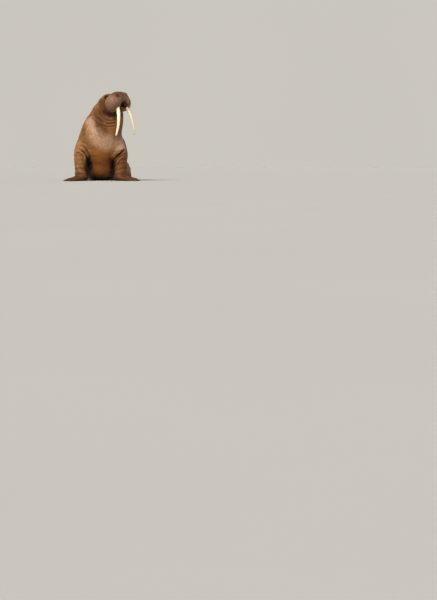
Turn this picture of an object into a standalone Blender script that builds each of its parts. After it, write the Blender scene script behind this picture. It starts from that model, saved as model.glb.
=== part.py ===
"""A life-size still model of a walrus that sits up on its foreflippers with its head raised and turned.

Metres, +Z up. The animal faces -Y and its own left is +X. The floor is z = 0. One soft body is
modelled whole from simple forms, its skin folds are pressed in, and thin cuts part it into nodes.
"""

import math

import bmesh
import bpy
import numpy as np
from mathutils import Matrix, Vector

# Overall
GAP = 0.0003
SINK = 0.006
BODY_VOXEL = 0.024
FLESH_VOXEL = 0.008
SEED = 11
SIDES = {"left": 1.0, "right": -1.0}
LEFT = Vector((1, 0, 0))
FRONT = Vector((0, -1, 0))
UP = Vector((0, 0, 1))

# Triangles that each region of the skin keeps
TRUNK_TRIANGLES = 3400
LIMB_TRIANGLES = 2500
HEAD_TRIANGLES = 2900

# The trunk: centre x, y, z, half width and half depth, from the base of the skull to the tail
TRUNK = (
    (0.092, -0.065, 1.200, 0.185, 0.170),
    (0.102, -0.050, 1.090, 0.245, 0.215),
    (0.105, -0.030, 0.980, 0.265, 0.250),
    (0.063, 0.000, 0.860, 0.298, 0.300),
    (0.012, 0.050, 0.730, 0.325, 0.350),
    (0.005, 0.130, 0.590, 0.370, 0.395),
    (0.005, 0.290, 0.480, 0.405, 0.410),
    (0.010, 0.520, 0.435, 0.420, 0.432),
    (0.030, 0.800, 0.395, 0.415, 0.415),
    (0.060, 1.080, 0.330, 0.375, 0.355),
    (0.085, 1.320, 0.250, 0.300, 0.270),
    (0.100, 1.500, 0.172, 0.205, 0.180),
    (0.108, 1.610, 0.115, 0.115, 0.108),
    (0.112, 1.690, 0.078, 0.058, 0.048),
    (0.115, 1.760, 0.058, 0.032, 0.026),
)
SHOULDER = ((0.268, 0.010, 0.410), (0.130, 0.180, 0.190))
CHEST = ((0.000, 0.360, 0.330), (0.345, 0.450, 0.345))
WITHERS = ((0.020, 0.320, 0.590), (0.310, 0.400, 0.325))

# The head, in its own axes: forward, left and up from the base of the skull
HEAD_BASE = Vector((0.086, -0.060, 1.150))
HEAD_YAW = math.radians(43)
HEAD_PITCH = math.radians(22)
HEAD_ROLL = math.radians(-3)
PAD_PLACE = Vector((0.262, 0.104, -0.068))
PAD_RADII = Vector((0.138, 0.116, 0.126))
EYE_PLACE = Vector((0.180, 0.117, 0.057))
EYE_RADIUS = 0.023

# Forms of the head: centre and radii in the head's axes. One with a left is made on both sides
HEAD_FORMS = {
    "cranium": ((0.060, 0.000, 0.008), (0.190, 0.158, 0.150)),
    "face": ((0.212, 0.000, -0.004), (0.170, 0.134, 0.116)),
    "muzzle": ((0.300, 0.000, -0.044), (0.118, 0.160, 0.088)),
    "nose": ((0.345, 0.000, 0.020), (0.085, 0.078, 0.058)),
    "bridge": ((0.270, 0.000, 0.036), (0.104, 0.092, 0.073)),
    "brow": ((0.172, 0.100, 0.088), (0.060, 0.034, 0.024)),
    "cheek": ((0.110, 0.090, -0.080), (0.140, 0.085, 0.130)),
    "pad": (tuple(PAD_PLACE), tuple(PAD_RADII)),
    "pad top": ((0.322, 0.086, 0.010), (0.092, 0.074, 0.066)),
    "droop": ((0.248, 0.110, -0.105), (0.115, 0.094, 0.094)),
    "eye rim": ((0.176, 0.103, 0.056), (0.046, 0.031, 0.036)),
}

# The lower jaw: place forward and up, half width and half height
JAW = (
    (0.000, -0.175, 0.070, 0.050),
    (0.090, -0.182, 0.078, 0.060),
    (0.175, -0.186, 0.064, 0.050),
    (0.240, -0.186, 0.052, 0.038),
    (0.285, -0.183, 0.038, 0.026),
    (0.306, -0.180, 0.018, 0.013),
)
MOUTH_PLACE = Vector((0.345, 0.006, -0.142))
MOUTH_RADII = Vector((0.085, 0.056, 0.042))
NOSTRIL_PLACE = Vector((0.412, 0.028, 0.040))
EAR_PLACE = Vector((0.045, 0.150, 0.035))

# The tusks
TUSK_ROOT = Vector((0.302, 0.068, -0.070))
TUSK_LENGTH = 0.55
TUSK_RADIUS = 0.031
TUSK_SPREAD = (math.radians(15.8), math.radians(13.2))
TUSK_FORWARD = (math.radians(14.6), math.radians(-38.5))

# The whiskers in the solids, on each pad
WHISKER_ROWS = 8
WHISKERS_A_ROW = 6
WHISKER_LENGTH = 0.052
WHISKER_RADIUS = 0.0024

# A foreflipper's arm: x, y, z, half width and half depth of the left one
ARM = (
    (0.240, 0.150, 0.600, 0.090, 0.110),
    (0.286, 0.030, 0.490, 0.118, 0.150),
    (0.303, -0.075, 0.340, 0.110, 0.130),
    (0.303, -0.110, 0.200, 0.100, 0.106),
    (0.300, -0.118, 0.070, 0.100, 0.098),
)
WRIST = Vector((0.300, -0.118, 0.0))
HAND_TURN = {"left": math.radians(28), "right": math.radians(40)}

# A hand and a foot: distance from the wrist or ankle, half width and half height
HAND = (
    (-0.095, 0.050, 0.040),
    (-0.050, 0.095, 0.060),
    (0.020, 0.108, 0.058),
    (0.110, 0.112, 0.038),
    (0.200, 0.112, 0.025),
    (0.275, 0.100, 0.016),
    (0.310, 0.070, 0.011),
)
HAND_FINGERS = ((-21, 0.340), (-10, 0.335), (1, 0.320), (12, 0.300), (23, 0.270))
FOOT = (
    (-0.060, 0.060, 0.055),
    (0.020, 0.078, 0.055),
    (0.130, 0.085, 0.040),
    (0.250, 0.110, 0.028),
    (0.360, 0.140, 0.018),
    (0.405, 0.125, 0.012),
)
FOOT_FINGERS = ((-22, 0.450), (-11, 0.428), (0, 0.412), (11, 0.428), (22, 0.446))
ANKLE = {"left": Vector((0.400, 1.490, 0.0)), "right": Vector((-0.275, 1.490, 0.0))}
FOOT_TURN = math.radians(84)
HIP_RADII = (0.180, 0.330, 0.235)
THIGH = {"left": Vector((0.330, 1.310, 0.115)), "right": Vector((-0.150, 1.330, 0.115))}

# Colour and roughness of each material
MATERIALS = {
    "hide": ((0.235, 0.115, 0.055), 0.60),
    "pad skin": ((0.230, 0.135, 0.085), 0.65),
    "ivory": ((0.860, 0.760, 0.560), 0.35),
    "eye": ((0.020, 0.012, 0.010), 0.08),
}

# Skin folds seen from the front: depth and width of the crease, then x and z along it
FRONT_FOLDS = (
    (0.022, 0.015, ((0.400, 0.480), (0.330, 0.445), (0.255, 0.375), (0.200, 0.290), (0.165, 0.190))),
    (0.012, 0.011, ((0.345, 0.405), (0.285, 0.375), (0.240, 0.325), (0.215, 0.255))),
    (0.018, 0.014, ((-0.350, 0.470), (-0.280, 0.440), (-0.225, 0.380), (-0.198, 0.300), (-0.188, 0.200))),
    (0.010, 0.012, ((-0.330, 0.560), (-0.265, 0.525), (-0.210, 0.455), (-0.185, 0.390))),
    (0.008, 0.012, ((0.060, 0.930), (0.120, 0.900), (0.190, 0.905), (0.260, 0.940))),
    (0.007, 0.012, ((0.080, 0.875), (0.140, 0.850), (0.210, 0.860), (0.270, 0.890))),
    (0.008, 0.012, ((-0.130, 1.040), (-0.050, 0.960), (0.020, 0.905), (0.100, 0.875))),
)

# Skin folds of the head: depth and width of the crease, then places in the head's axes
HEAD_FOLDS = (
    (0.007, 0.009, ((0.212, 0.128, 0.078), (0.172, 0.150, 0.020), (0.130, 0.190, -0.085), (0.135, 0.185, -0.190))),
    (0.005, 0.006, ((0.150, 0.150, 0.060), (0.180, 0.150, 0.032), (0.215, 0.140, 0.038), (0.240, 0.120, 0.052))),
    (0.004, 0.006, ((0.150, 0.140, 0.090), (0.190, 0.130, 0.096), (0.235, 0.110, 0.086))),
    (0.006, 0.008, ((0.030, 0.200, -0.060), (0.010, 0.190, -0.130), (0.020, 0.150, -0.200))),
)
LIP_CLEFT = ((0.430, 0, 0.020), (0.440, 0, -0.030), (0.435, 0, -0.075), (0.415, 0, -0.110))
ARM_CREASES = (0.140, 0.215, 0.275, 0.350)
NECK_CREASES = (0.770, 0.870, 0.940, 1.030)
FLANK_CREASES = (0.160, 0.190, 0.220, 0.250, 0.280)


def head_matrix():
    """Place and axes of the head: its columns are forward, left and up."""
    axes = Matrix((FRONT, LEFT, UP)).transposed().to_4x4()
    turn = Matrix.Rotation(HEAD_YAW, 4, UP)
    lift = Matrix.Rotation(-HEAD_PITCH, 4, LEFT)
    lean = Matrix.Rotation(-HEAD_ROLL, 4, FRONT)
    return Matrix.Translation(HEAD_BASE) @ turn @ lift @ lean @ axes


HEAD = head_matrix()


def mirrored(place, side):
    """A place in the head's axes, on the left or on the right."""
    return Vector((place[0], place[1] * side, place[2]))


def smooth_rows(rows, steps):
    """Rows of numbers with points between them on a Catmull-Rom curve."""
    rows = np.array(rows, float)
    padded = np.vstack((2 * rows[0] - rows[1], rows, 2 * rows[-1] - rows[-2]))
    made = []
    for i in range(1, len(padded) - 2):
        a, b, c, d = padded[i - 1 : i + 3]
        for t in np.arange(steps) / steps:
            bend = (2 * a - 5 * b + 4 * c - d) * t**2 + (3 * b - a - 3 * c + d) * t**3
            made.append(0.5 * (2 * b + (c - a) * t + bend))
    made.append(rows[-1])
    return np.array(made)


def smooth_step(values, low, high):
    """0 below low, 1 above high, and an even slope between them."""
    t = np.clip((values - low) / (high - low), 0, 1)
    return t * t * (3 - 2 * t)


class Clay:
    """Closed forms gathered in one mesh."""

    def __init__(self):
        """Start with nothing."""
        self.points = []
        self.faces = []

    def loft(self, rings):
        """A closed skin through rings of points, with a flat face at each end."""
        base = len(self.points)
        count = len(rings[0])
        for ring in rings:
            self.points.extend(tuple(p) for p in ring)
        for i in range(len(rings) - 1):
            for k in range(count):
                a = base + i * count + k
                b = base + i * count + (k + 1) % count
                self.faces.append((a, b, b + count, a + count))
        last = base + (len(rings) - 1) * count
        self.faces.append(tuple(range(base + count - 1, base - 1, -1)))
        self.faces.append(tuple(range(last, last + count)))

    def ellipsoid(self, matrix, centre, radii, segments=36, rows=20):
        """An ellipsoid whose centre and radii are in the axes of matrix."""
        place = matrix @ Matrix.Translation(centre) @ Matrix.Diagonal((*radii, 1.0))
        rings = []
        for i in range(rows + 1):
            angle = math.pi * (0.02 + 0.96 * i / rows)
            ring = []
            for k in range(segments):
                turn = math.tau * k / segments
                point = (math.cos(turn) * math.sin(angle), math.sin(turn) * math.sin(angle), -math.cos(angle))
                ring.append(place @ Vector(point))
            rings.append(ring)
        self.loft(rings)

    def tube(self, centres, widths, heights, side, segments=40):
        """A closed tube of elliptical sections. side is the direction of the widths."""
        rings = []
        for i, centre in enumerate(centres):
            way = Vector(centres[min(i + 1, len(centres) - 1)] - centres[max(i - 1, 0)])
            along = way.normalized()
            across = (Vector(side) - along * along.dot(side)).normalized()
            deep = along.cross(across)
            ring = []
            for k in range(segments):
                turn = math.tau * k / segments
                reach = across * widths[i] * math.cos(turn) + deep * heights[i] * math.sin(turn)
                ring.append(Vector(centre) + reach)
            rings.append(ring)
        self.loft(rings)

    def mesh(self, obj):
        """Take in the surface of an object."""
        base = len(self.points)
        self.points.extend(tuple(v.co) for v in obj.data.vertices)
        self.faces.extend(tuple(base + v for v in p.vertices) for p in obj.data.polygons)

    def make(self, name):
        """The forms as one object."""
        mesh = bpy.data.meshes.new(name)
        mesh.from_pydata(self.points, [], self.faces)
        mesh.validate()
        obj = bpy.data.objects.new(name, mesh)
        bpy.context.scene.collection.objects.link(obj)
        face_out(obj)
        return obj


def face_out(obj):
    """Turn every face of the object outward."""
    shape = bmesh.new()
    shape.from_mesh(obj.data)
    bmesh.ops.recalc_face_normals(shape, faces=shape.faces)
    shape.to_mesh(obj.data)
    shape.free()


def apply_modifiers(obj):
    """Replace the object's mesh by what its modifiers make of it."""
    graph = bpy.context.evaluated_depsgraph_get()
    mesh = bpy.data.meshes.new_from_object(obj.evaluated_get(graph))
    obj.modifiers.clear()
    obj.data = mesh
    return obj


def points_of(obj):
    """The object's points as an array."""
    points = np.empty(len(obj.data.vertices) * 3, np.float32)
    obj.data.vertices.foreach_get("co", points)
    return points.reshape(-1, 3).astype(float)


def normals_of(obj):
    """The object's vertex normals as an array."""
    normals = np.empty(len(obj.data.vertices) * 3, np.float32)
    obj.data.vertex_normals.foreach_get("vector", normals)
    return normals.reshape(-1, 3).astype(float)


def set_points(obj, points):
    """Move the object's points."""
    obj.data.vertices.foreach_set("co", points.astype(np.float32).ravel())
    obj.data.update()


def in_head(points):
    """Points in the head's axes: forward, left and up."""
    back = np.array(HEAD.inverted())
    return points @ back[:3, :3].T + back[:3, 3]


def fuse(obj, voxel):
    """Make one closed surface of the overlapping forms."""
    remesh = obj.modifiers.new("fuse", "REMESH")
    remesh.mode = "VOXEL"
    remesh.voxel_size = voxel
    return apply_modifiers(obj)


def set_group(obj, name, weights):
    """A vertex group that holds the weights in steps of a tenth."""
    group = obj.vertex_groups.new(name=name)
    steps = np.round(weights, 1)
    for step in np.unique(steps):
        group.add(np.flatnonzero(steps == step).tolist(), float(step), "REPLACE")
    return group.name


def relax(obj, weights, rounds):
    """Smooth the surface where the weights are high."""
    smooth = obj.modifiers.new("relax", "SMOOTH")
    smooth.factor = 0.5
    smooth.iterations = rounds
    smooth.vertex_group = set_group(obj, "relax", weights)
    apply_modifiers(obj)
    obj.vertex_groups.clear()


def trunk():
    """The neck, chest, belly and rump in one tapering form."""
    clay = Clay()
    rows = smooth_rows(TRUNK, 5)
    clay.tube(rows[:, :3], rows[:, 3], rows[:, 4], LEFT, 64)
    obj = fuse(clay.make("trunk"), BODY_VOXEL)
    relax(obj, np.ones(len(obj.data.vertices)), 24)
    return obj


def add_head(clay):
    """The skull, face, pads and cheeks."""
    for centre, radii in HEAD_FORMS.values():
        sides = SIDES.values() if centre[1] else (1.0,)
        for side in sides:
            clay.ellipsoid(HEAD, mirrored(centre, side), radii)


def paddle_way(turn, side):
    """The direction of a hand or foot: outward, and forward by turn."""
    return Vector((side * math.cos(turn), -math.sin(turn), 0))


def add_paddle(clay, root, way, sections, fingers, side):
    """A flat hand or foot that lies on the floor, with its fingers as ridges in the web."""
    rows = smooth_rows(sections, 3)
    centres = np.array([root + way * row[0] + UP * (row[2] - SINK) for row in rows])
    clay.tube(centres, rows[:, 1], rows[:, 2], UP.cross(way))
    for angle, length in fingers:
        ray = Matrix.Rotation(math.radians(angle) * side, 3, UP) @ way
        steps = np.linspace(0.06, length, 9)
        radii = np.linspace(0.030, 0.0125, 9)
        lie = np.array([root + ray * s + UP * (r * 1.15 - SINK) for s, r in zip(steps, radii)])
        clay.tube(lie, radii, radii * 1.15, UP.cross(ray), 16)
        clay.ellipsoid(Matrix.Translation(lie[-1]), (0, 0, 0), (radii[-1],) * 3, 12, 8)


def add_foreflipper(clay, name, side):
    """A shoulder and an arm with its hand flat on the floor."""
    centre, radii = SHOULDER
    clay.ellipsoid(Matrix.Identity(4), Vector((centre[0] * side, centre[1], centre[2])), radii)
    rows = smooth_rows(ARM, 4)
    rows[:, 0] *= side
    clay.tube(rows[:, :3], rows[:, 3], rows[:, 4], LEFT)
    wrist = Vector((WRIST.x * side, WRIST.y, 0))
    add_paddle(clay, wrist, paddle_way(HAND_TURN[name], side), HAND, HAND_FINGERS, side)


def add_hind_flipper(clay, name, side):
    """A thigh, and a foot that points forward along the floor."""
    clay.ellipsoid(Matrix.Translation(THIGH[name]), (0, 0, 0), HIP_RADII)
    add_paddle(clay, ANKLE[name], paddle_way(FOOT_TURN, side), FOOT, FOOT_FINGERS, side)


def flesh():
    """The whole soft body without the lower jaw, smooth and unwrinkled."""
    clay = Clay()
    clay.mesh(trunk())
    for centre, radii in (CHEST, WITHERS):
        clay.ellipsoid(Matrix.Identity(4), centre, radii)
    add_head(clay)
    for name, side in SIDES.items():
        add_foreflipper(clay, name, side)
        add_hind_flipper(clay, name, side)
    body = fuse(clay.make("body"), FLESH_VOXEL)
    points = points_of(body)
    local = in_head(points)
    face = smooth_step(local[:, 0], 0.02, 0.16) * smooth_step(points[:, 2], 0.92, 1.02)
    low = 1 - smooth_step(points[:, 2], 0.05, 0.16)
    arm = (1 - smooth_step(points[:, 2], 0.25, 0.50)) * (1 - smooth_step(points[:, 1], 0.00, 0.10))
    relax(body, np.clip(1.0 - 0.65 * face - 0.95 * low - 0.75 * arm, 0.0, 1.0), 110)
    return body


def line_distance(points, line):
    """How far each point is from a line of places, and at which share of the line it is nearest."""
    best = np.full(len(points), np.inf)
    share = np.zeros(len(points))
    marks = np.concatenate(([0.0], np.cumsum(np.linalg.norm(np.diff(line, axis=0), axis=1))))
    for i in range(len(line) - 1):
        step = line[i + 1] - line[i]
        t = np.clip((points - line[i]) @ step / (step @ step), 0, 1)
        far = np.linalg.norm(points - line[i] - t[:, None] * step, axis=1)
        nearer = far < best
        best[nearer] = far[nearer]
        share[nearer] = (marks[i] + t * (marks[i + 1] - marks[i]))[nearer] / marks[-1]
    return best, share


def crease(far, depth, width):
    """How far out the skin lies beside a crease: in along its middle, a little out at both rims."""
    return depth * (0.35 * np.exp(-(((far - 2.1 * width) / width) ** 2)) - np.exp(-((far / width) ** 2)))


def press_line(obj, line, depth, width):
    """Press a crease into the skin along a line that fades out at both ends."""
    points = points_of(obj)
    line = np.array([tuple(p) for p in line])
    reach = 5 * width
    near = np.all((points > line.min(axis=0) - reach) & (points < line.max(axis=0) + reach), axis=1)
    far, share = line_distance(points[near], line)
    fade = smooth_step(share, 0.0, 0.18) * (1 - smooth_step(share, 0.82, 1.0))
    move = crease(far, depth, width) * fade
    points[near] += normals_of(obj)[near] * move[:, None]
    set_points(obj, points)


def press_bands(obj, levels, height, weight, depth, width):
    """Press creases where height is at one of the levels, as deep as weight allows."""
    move = np.zeros(len(height))
    for i, level in enumerate(levels):
        move += crease(np.abs(height - level), depth * (0.75 + 0.25 * math.cos(2.1 * i)), width)
    set_points(obj, points_of(obj) + normals_of(obj) * (move * weight)[:, None])


def press_pit(obj, place, radii, depth):
    """Press a hollow into the head. place and radii are in its axes."""
    points = points_of(obj)
    far = np.linalg.norm((in_head(points) - np.array(place)) / np.array(radii), axis=1)
    set_points(obj, points - normals_of(obj) * (depth * np.exp(-(far**2)))[:, None])


def on_front(obj, line):
    """The places on the skin that are seen from the front at each x and z of the line."""
    found = []
    for x, z in smooth_rows(line, 6):
        hit, place, _, _ = obj.ray_cast(Vector((x, -3, z)), Vector((0, 1, 0)))
        if hit:
            found.append(place)
    return found


def on_head(obj, line):
    """The places on the skin nearest to places given in the head's axes."""
    return [obj.closest_point_on_mesh(HEAD @ Vector(p))[1] for p in smooth_rows(line, 5)]


def wrinkle(body):
    """Press the folds of skin, the nostrils, the ears and the lids into the body."""
    for depth, width, line in FRONT_FOLDS:
        press_line(body, on_front(body, line), depth, width)
    press_line(body, on_head(body, LIP_CLEFT), 0.012, 0.011)
    for side in SIDES.values():
        for depth, width, line in HEAD_FOLDS:
            press_line(body, on_head(body, [mirrored(p, side) for p in line]), depth, width)
        press_pit(body, mirrored(NOSTRIL_PLACE, side), (0.012, 0.011, 0.018), 0.016)
        press_pit(body, mirrored(EAR_PLACE, side), (0.016, 0.020, 0.010), 0.010)
    points = points_of(body)
    x, y, z = points.T
    out = np.abs(x)
    arm = smooth_step(out, 0.17, 0.21) * (1 - smooth_step(y, -0.02, 0.06)) * (1 - smooth_step(z, 0.38, 0.46))
    arm *= smooth_step(z, 0.08, 0.13)
    slope = z + 0.22 * (y + 0.1) - 0.16 * (out - 0.30) + 0.008 * np.sin(9 * (out + y) + 20 * z)
    press_bands(body, ARM_CREASES, slope, arm, 0.006, 0.011)
    nape = smooth_step(y, -0.05, 0.10) * smooth_step(z, 0.80, 0.90) * (1 - smooth_step(in_head(points)[:, 0], -0.10, 0.00))
    nape *= 1 - smooth_step(y, 0.12, 0.34)
    press_bands(body, NECK_CREASES, z - 0.30 * y, nape, 0.008, 0.016)
    flank = smooth_step(y, 0.85, 1.00) * (1 - smooth_step(y, 1.45, 1.60)) * (1 - smooth_step(z, 0.30, 0.42))
    flank *= smooth_step(np.abs(x - 0.06), 0.28, 0.34) * smooth_step(z, 0.05, 0.09)
    slant = (1.4 * np.abs(x - 0.06) - z - 0.25 * (y - 1.1)) / 1.72
    press_bands(body, FLANK_CREASES, slant, flank, 0.012, 0.010)


def settle(obj):
    """Cut the body flat where it would go through the floor."""
    shape = bmesh.new()
    shape.from_mesh(obj.data)
    everything = shape.verts[:] + shape.edges[:] + shape.faces[:]
    cut = bmesh.ops.bisect_plane(
        shape, geom=everything, dist=1e-6, plane_co=(0, 0, 0), plane_no=UP, clear_inner=True
    )
    rim = [part for part in cut["geom_cut"] if isinstance(part, bmesh.types.BMEdge)]
    bmesh.ops.edgenet_fill(shape, edges=rim)
    bmesh.ops.recalc_face_normals(shape, faces=shape.faces)
    bmesh.ops.triangulate(shape, faces=shape.faces)
    shape.to_mesh(obj.data)
    shape.free()


def thin(obj, choose, count):
    """Collapse edges among the points that choose picks until about count triangles are left there."""
    points = points_of(obj)
    inside = choose(points)
    obj.data.calc_loop_triangles()
    corners = np.empty(len(obj.data.loop_triangles) * 3, np.int32)
    obj.data.loop_triangles.foreach_get("vertices", corners)
    held = inside[corners.reshape(-1, 3)].mean(axis=1)
    total = len(held)
    reduce = obj.modifiers.new("thin", "DECIMATE")
    reduce.ratio = (total - held.sum() + count) / total
    reduce.use_collapse_triangulate = True
    reduce.vertex_group = set_group(obj, "thin", inside.astype(float))
    apply_modifiers(obj)
    obj.vertex_groups.clear()


def is_head(points):
    """Which points are on the head."""
    return (in_head(points)[:, 0] > 0.08) & (points[:, 2] > 0.90)


def is_limb(points):
    """Which points are on a foreflipper or a hind flipper."""
    arm = (points[:, 1] < 0.06) & (points[:, 2] < 0.48) & (np.abs(points[:, 0]) > 0.15)
    foot = (points[:, 1] > 0.90) & (points[:, 2] < 0.12)
    return (arm | foot) & ~is_head(points)


def is_trunk(points):
    """Which points are on neither the head nor a limb."""
    return ~is_head(points) & ~is_limb(points)


def tusk_line(side, steps=13):
    """Points along a tusk from inside the jaw to the tip."""
    place = mirrored(TUSK_ROOT, side)
    line = [place.copy()]
    step = TUSK_LENGTH / steps
    for i in range(steps):
        share = (i + 0.5) / steps
        forward = TUSK_FORWARD[0] + (TUSK_FORWARD[1] - TUSK_FORWARD[0]) * share
        out = TUSK_SPREAD[0] + (TUSK_SPREAD[1] - TUSK_SPREAD[0]) * share
        way = Vector((math.sin(forward), math.sin(out) * side, -math.cos(forward)))
        place = place + way.normalized() * step
        line.append(place.copy())
    return [HEAD @ p for p in line]


def make_tusk(name, side):
    """A tusk."""
    line = tusk_line(side)
    clay = Clay()
    shares = np.linspace(0, 1, len(line))
    radii = TUSK_RADIUS * (1 - 0.10 * shares - 0.55 * shares**3)
    radii[-1] *= 0.35
    clay.tube(np.array([tuple(p) for p in line]), radii, radii * 0.86, HEAD.col[0].xyz, 11)
    return clay.make(name)


def make_eye(name, side):
    """An eyeball."""
    clay = Clay()
    clay.ellipsoid(HEAD, mirrored(EYE_PLACE, side), (EYE_RADIUS,) * 3, 14, 8)
    return clay.make(name)


def make_mouth():
    """The room inside the mouth, to cut from the muzzle."""
    clay = Clay()
    clay.ellipsoid(HEAD, MOUTH_PLACE, MOUTH_RADII, 20, 11)
    return clay.make("mouth")


def make_jaw(name):
    """The lower jaw."""
    rows = smooth_rows(JAW, 3)
    places = [HEAD @ Vector((row[0], 0, row[1])) for row in rows]
    clay = Clay()
    clay.tube(np.array([tuple(p) for p in places]), rows[:, 2], rows[:, 3], HEAD.col[1].xyz, 20)
    return clay.make(name)


def add_whisker(clay, root, way, droop, length):
    """One bristle: a bent three-sided spike that starts inside the skin."""
    across = way.cross(droop).normalized()
    rings = []
    for share in (0.0, 0.5, 1.0):
        bent = (way + droop * 0.55 * share).normalized()
        centre = root + bent * length * share - way * 0.006
        radius = WHISKER_RADIUS * (1 - 0.72 * share)
        side = bent.cross(across).normalized()
        ring = [centre + (across * math.cos(a) + side * math.sin(a)) * radius
                for a in (0, math.tau / 3, 2 * math.tau / 3)]
        rings.append(ring)
    clay.loft(rings)


def make_whiskers(muzzle):
    """Bristles on the front and the lower edge of both pads, rooted in the muzzle."""
    dice = np.random.default_rng(SEED)
    clay = Clay()
    down = (HEAD.to_3x3() @ Vector((0.15, 0, -1))).normalized()
    for side in SIDES.values():
        tusk = np.array([tuple(p) for p in tusk_line(side)])
        for row in range(WHISKER_ROWS):
            lift = math.radians(-62 + 92 * row / (WHISKER_ROWS - 1))
            count = WHISKERS_A_ROW - (row > 4)
            for k in range(count):
                turn = math.radians(-38 + 118 * (k + 0.5 * (row % 2)) / count + dice.uniform(-3, 3))
                way = Vector((math.cos(turn) * math.cos(lift), math.sin(turn) * math.cos(lift), math.sin(lift)))
                spot = PAD_PLACE + Vector((way.x * PAD_RADII.x, way.y * PAD_RADII.y, way.z * PAD_RADII.z))
                _, root, normal, _ = muzzle.closest_point_on_mesh(HEAD @ mirrored(spot, side))
                if in_head(np.array([tuple(root)]))[0, 0] < 0.25:
                    continue
                length = WHISKER_LENGTH * (1.25 - 0.55 * row / (WHISKER_ROWS - 1)) * dice.uniform(0.8, 1.1)
                way = (normal + down * 0.60).normalized()
                reach = [tuple(root + (way + down * 0.4 * s) * length * s) for s in (0.0, 0.5, 1.0)]
                if line_distance(np.array(reach), tusk)[0].min() < TUSK_RADIUS + 0.006:
                    continue
                add_whisker(clay, root, way, down, length)
    return clay.make("whiskers")


def combine(obj, other, operation, crossed=False):
    """Join the other object to this one, cut it out, or keep what both hold. crossed forms may cross themselves."""
    cut = obj.modifiers.new("combine", "BOOLEAN")
    cut.operation = operation
    cut.solver = "EXACT"
    cut.use_self = crossed
    cut.object = other
    apply_modifiers(obj)


def discard(obj):
    """Remove an object that only helped."""
    bpy.data.objects.remove(obj)


def copy_of(obj, name):
    """A second object with its own mesh."""
    other = obj.copy()
    other.data = obj.data.copy()
    other.name = name
    bpy.context.scene.collection.objects.link(other)
    return other


def block(planes, more=0.0, size=4.0):
    """The convex solid behind all the planes, each a place and a normal outward, moved out by more."""
    shape = bmesh.new()
    bmesh.ops.create_cube(shape, size=size)
    for place, normal in planes:
        normal = Vector(normal).normalized()
        everything = shape.verts[:] + shape.edges[:] + shape.faces[:]
        cut = bmesh.ops.bisect_plane(
            shape, geom=everything, dist=1e-7, plane_co=Vector(place) + normal * more,
            plane_no=normal, clear_outer=True,
        )
        rim = [part for part in cut["geom_cut"] if isinstance(part, bmesh.types.BMEdge)]
        if rim:
            bmesh.ops.edgenet_fill(shape, edges=rim)
    bmesh.ops.recalc_face_normals(shape, faces=shape.faces)
    bmesh.ops.triangulate(shape, faces=shape.faces)
    mesh = bpy.data.meshes.new("block")
    shape.to_mesh(mesh)
    shape.free()
    obj = bpy.data.objects.new("block", mesh)
    bpy.context.scene.collection.objects.link(obj)
    return obj


def keep_largest(obj):
    """Leave only the largest closed surface of the object and merge points that coincide."""
    shape = bmesh.new()
    shape.from_mesh(obj.data)
    bmesh.ops.triangulate(shape, faces=shape.faces)
    bmesh.ops.remove_doubles(shape, verts=shape.verts, dist=2e-5)
    left = set(shape.verts)
    best = []
    while left:
        start = left.pop()
        group = [start]
        seen = {start}
        for vert in group:
            for edge in vert.link_edges:
                other = edge.other_vert(vert)
                if other not in seen:
                    seen.add(other)
                    group.append(other)
        left -= seen
        if len(group) > len(best):
            best = group
    keep = set(best)
    bmesh.ops.delete(shape, geom=[v for v in shape.verts if v not in keep], context="VERTS")
    bmesh.ops.recalc_face_normals(shape, faces=shape.faces)
    shape.to_mesh(obj.data)
    shape.free()


def regions():
    """Each node that is cut from the body, with the planes of its block."""
    found = {}
    for name, side in SIDES.items():
        found["foreflipper_" + name] = (
            ((side * 0.165, 0, 0), (-side, 0, 0)),
            ((0, 0.080, 0), (0, 1, 0)),
            ((side * 0.165, 0, 0.330), (-side * 0.55, 0, 0.83)),
        )
        way = paddle_way(FOOT_TURN, side)
        found["hind_flipper_" + name] = (
            (ANKLE[name] + way * 0.19, -way),
            (ANKLE[name] + way * 0.52, way),
            (ANKLE[name] - LEFT * side * 0.100, -LEFT * side),
            (Vector((0, 0, 0.066)), UP),
        )
    muzzle = HEAD.to_3x3()
    found["muzzle"] = (
        (HEAD @ Vector((0.236, 0, 0.075)), muzzle @ Vector((-0.94, 0, 0.34))),
        (HEAD @ Vector((0.150, 0, -0.240)), muzzle @ Vector((-0.3, 0, -1.0))),
    )
    found["head"] = (((0.095, -0.110, 0.985), (-0.200, 0.256, -0.946)),)
    found["neck"] = (((0, 0, 0.760), (0, 0.30, -0.95)), )
    found["tail"] = (((0, 1.590, 0), (0, -1, 0.35)),)
    found["hips"] = (((0, 0.990, 0), (0, -1, 0.15)),)
    return found


def part_nodes(body):
    """Cut the body into its nodes, face to face with a thin gap between them."""
    nodes = []
    for name, planes in regions().items():
        inner = block(planes, -GAP / 2)
        outer = block(planes, GAP / 2)
        node = copy_of(body, name)
        combine(node, inner, "INTERSECT")
        combine(body, outer, "DIFFERENCE")
        keep_largest(node)
        nodes.append(node)
        discard(inner)
        discard(outer)
    body.name = "torso"
    keep_largest(body)
    return nodes + [body]


def grow(obj, more):
    """Move the object's surface outward."""
    set_points(obj, points_of(obj) + normals_of(obj) * more)


def set_in(body, inset):
    """Cut a socket, a little wider than the inset form, from the body."""
    socket = copy_of(inset, "socket")
    grow(socket, 1.5 * GAP)
    combine(body, socket, "DIFFERENCE")
    discard(socket)


def material(name, colour, roughness):
    """A plain coloured surface."""
    made = bpy.data.materials.new(name)
    made.use_nodes = True
    shader = made.node_tree.nodes["Principled BSDF"]
    shader.inputs["Base Color"].default_value = (*colour, 1.0)
    shader.inputs["Roughness"].default_value = roughness
    return made


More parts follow.
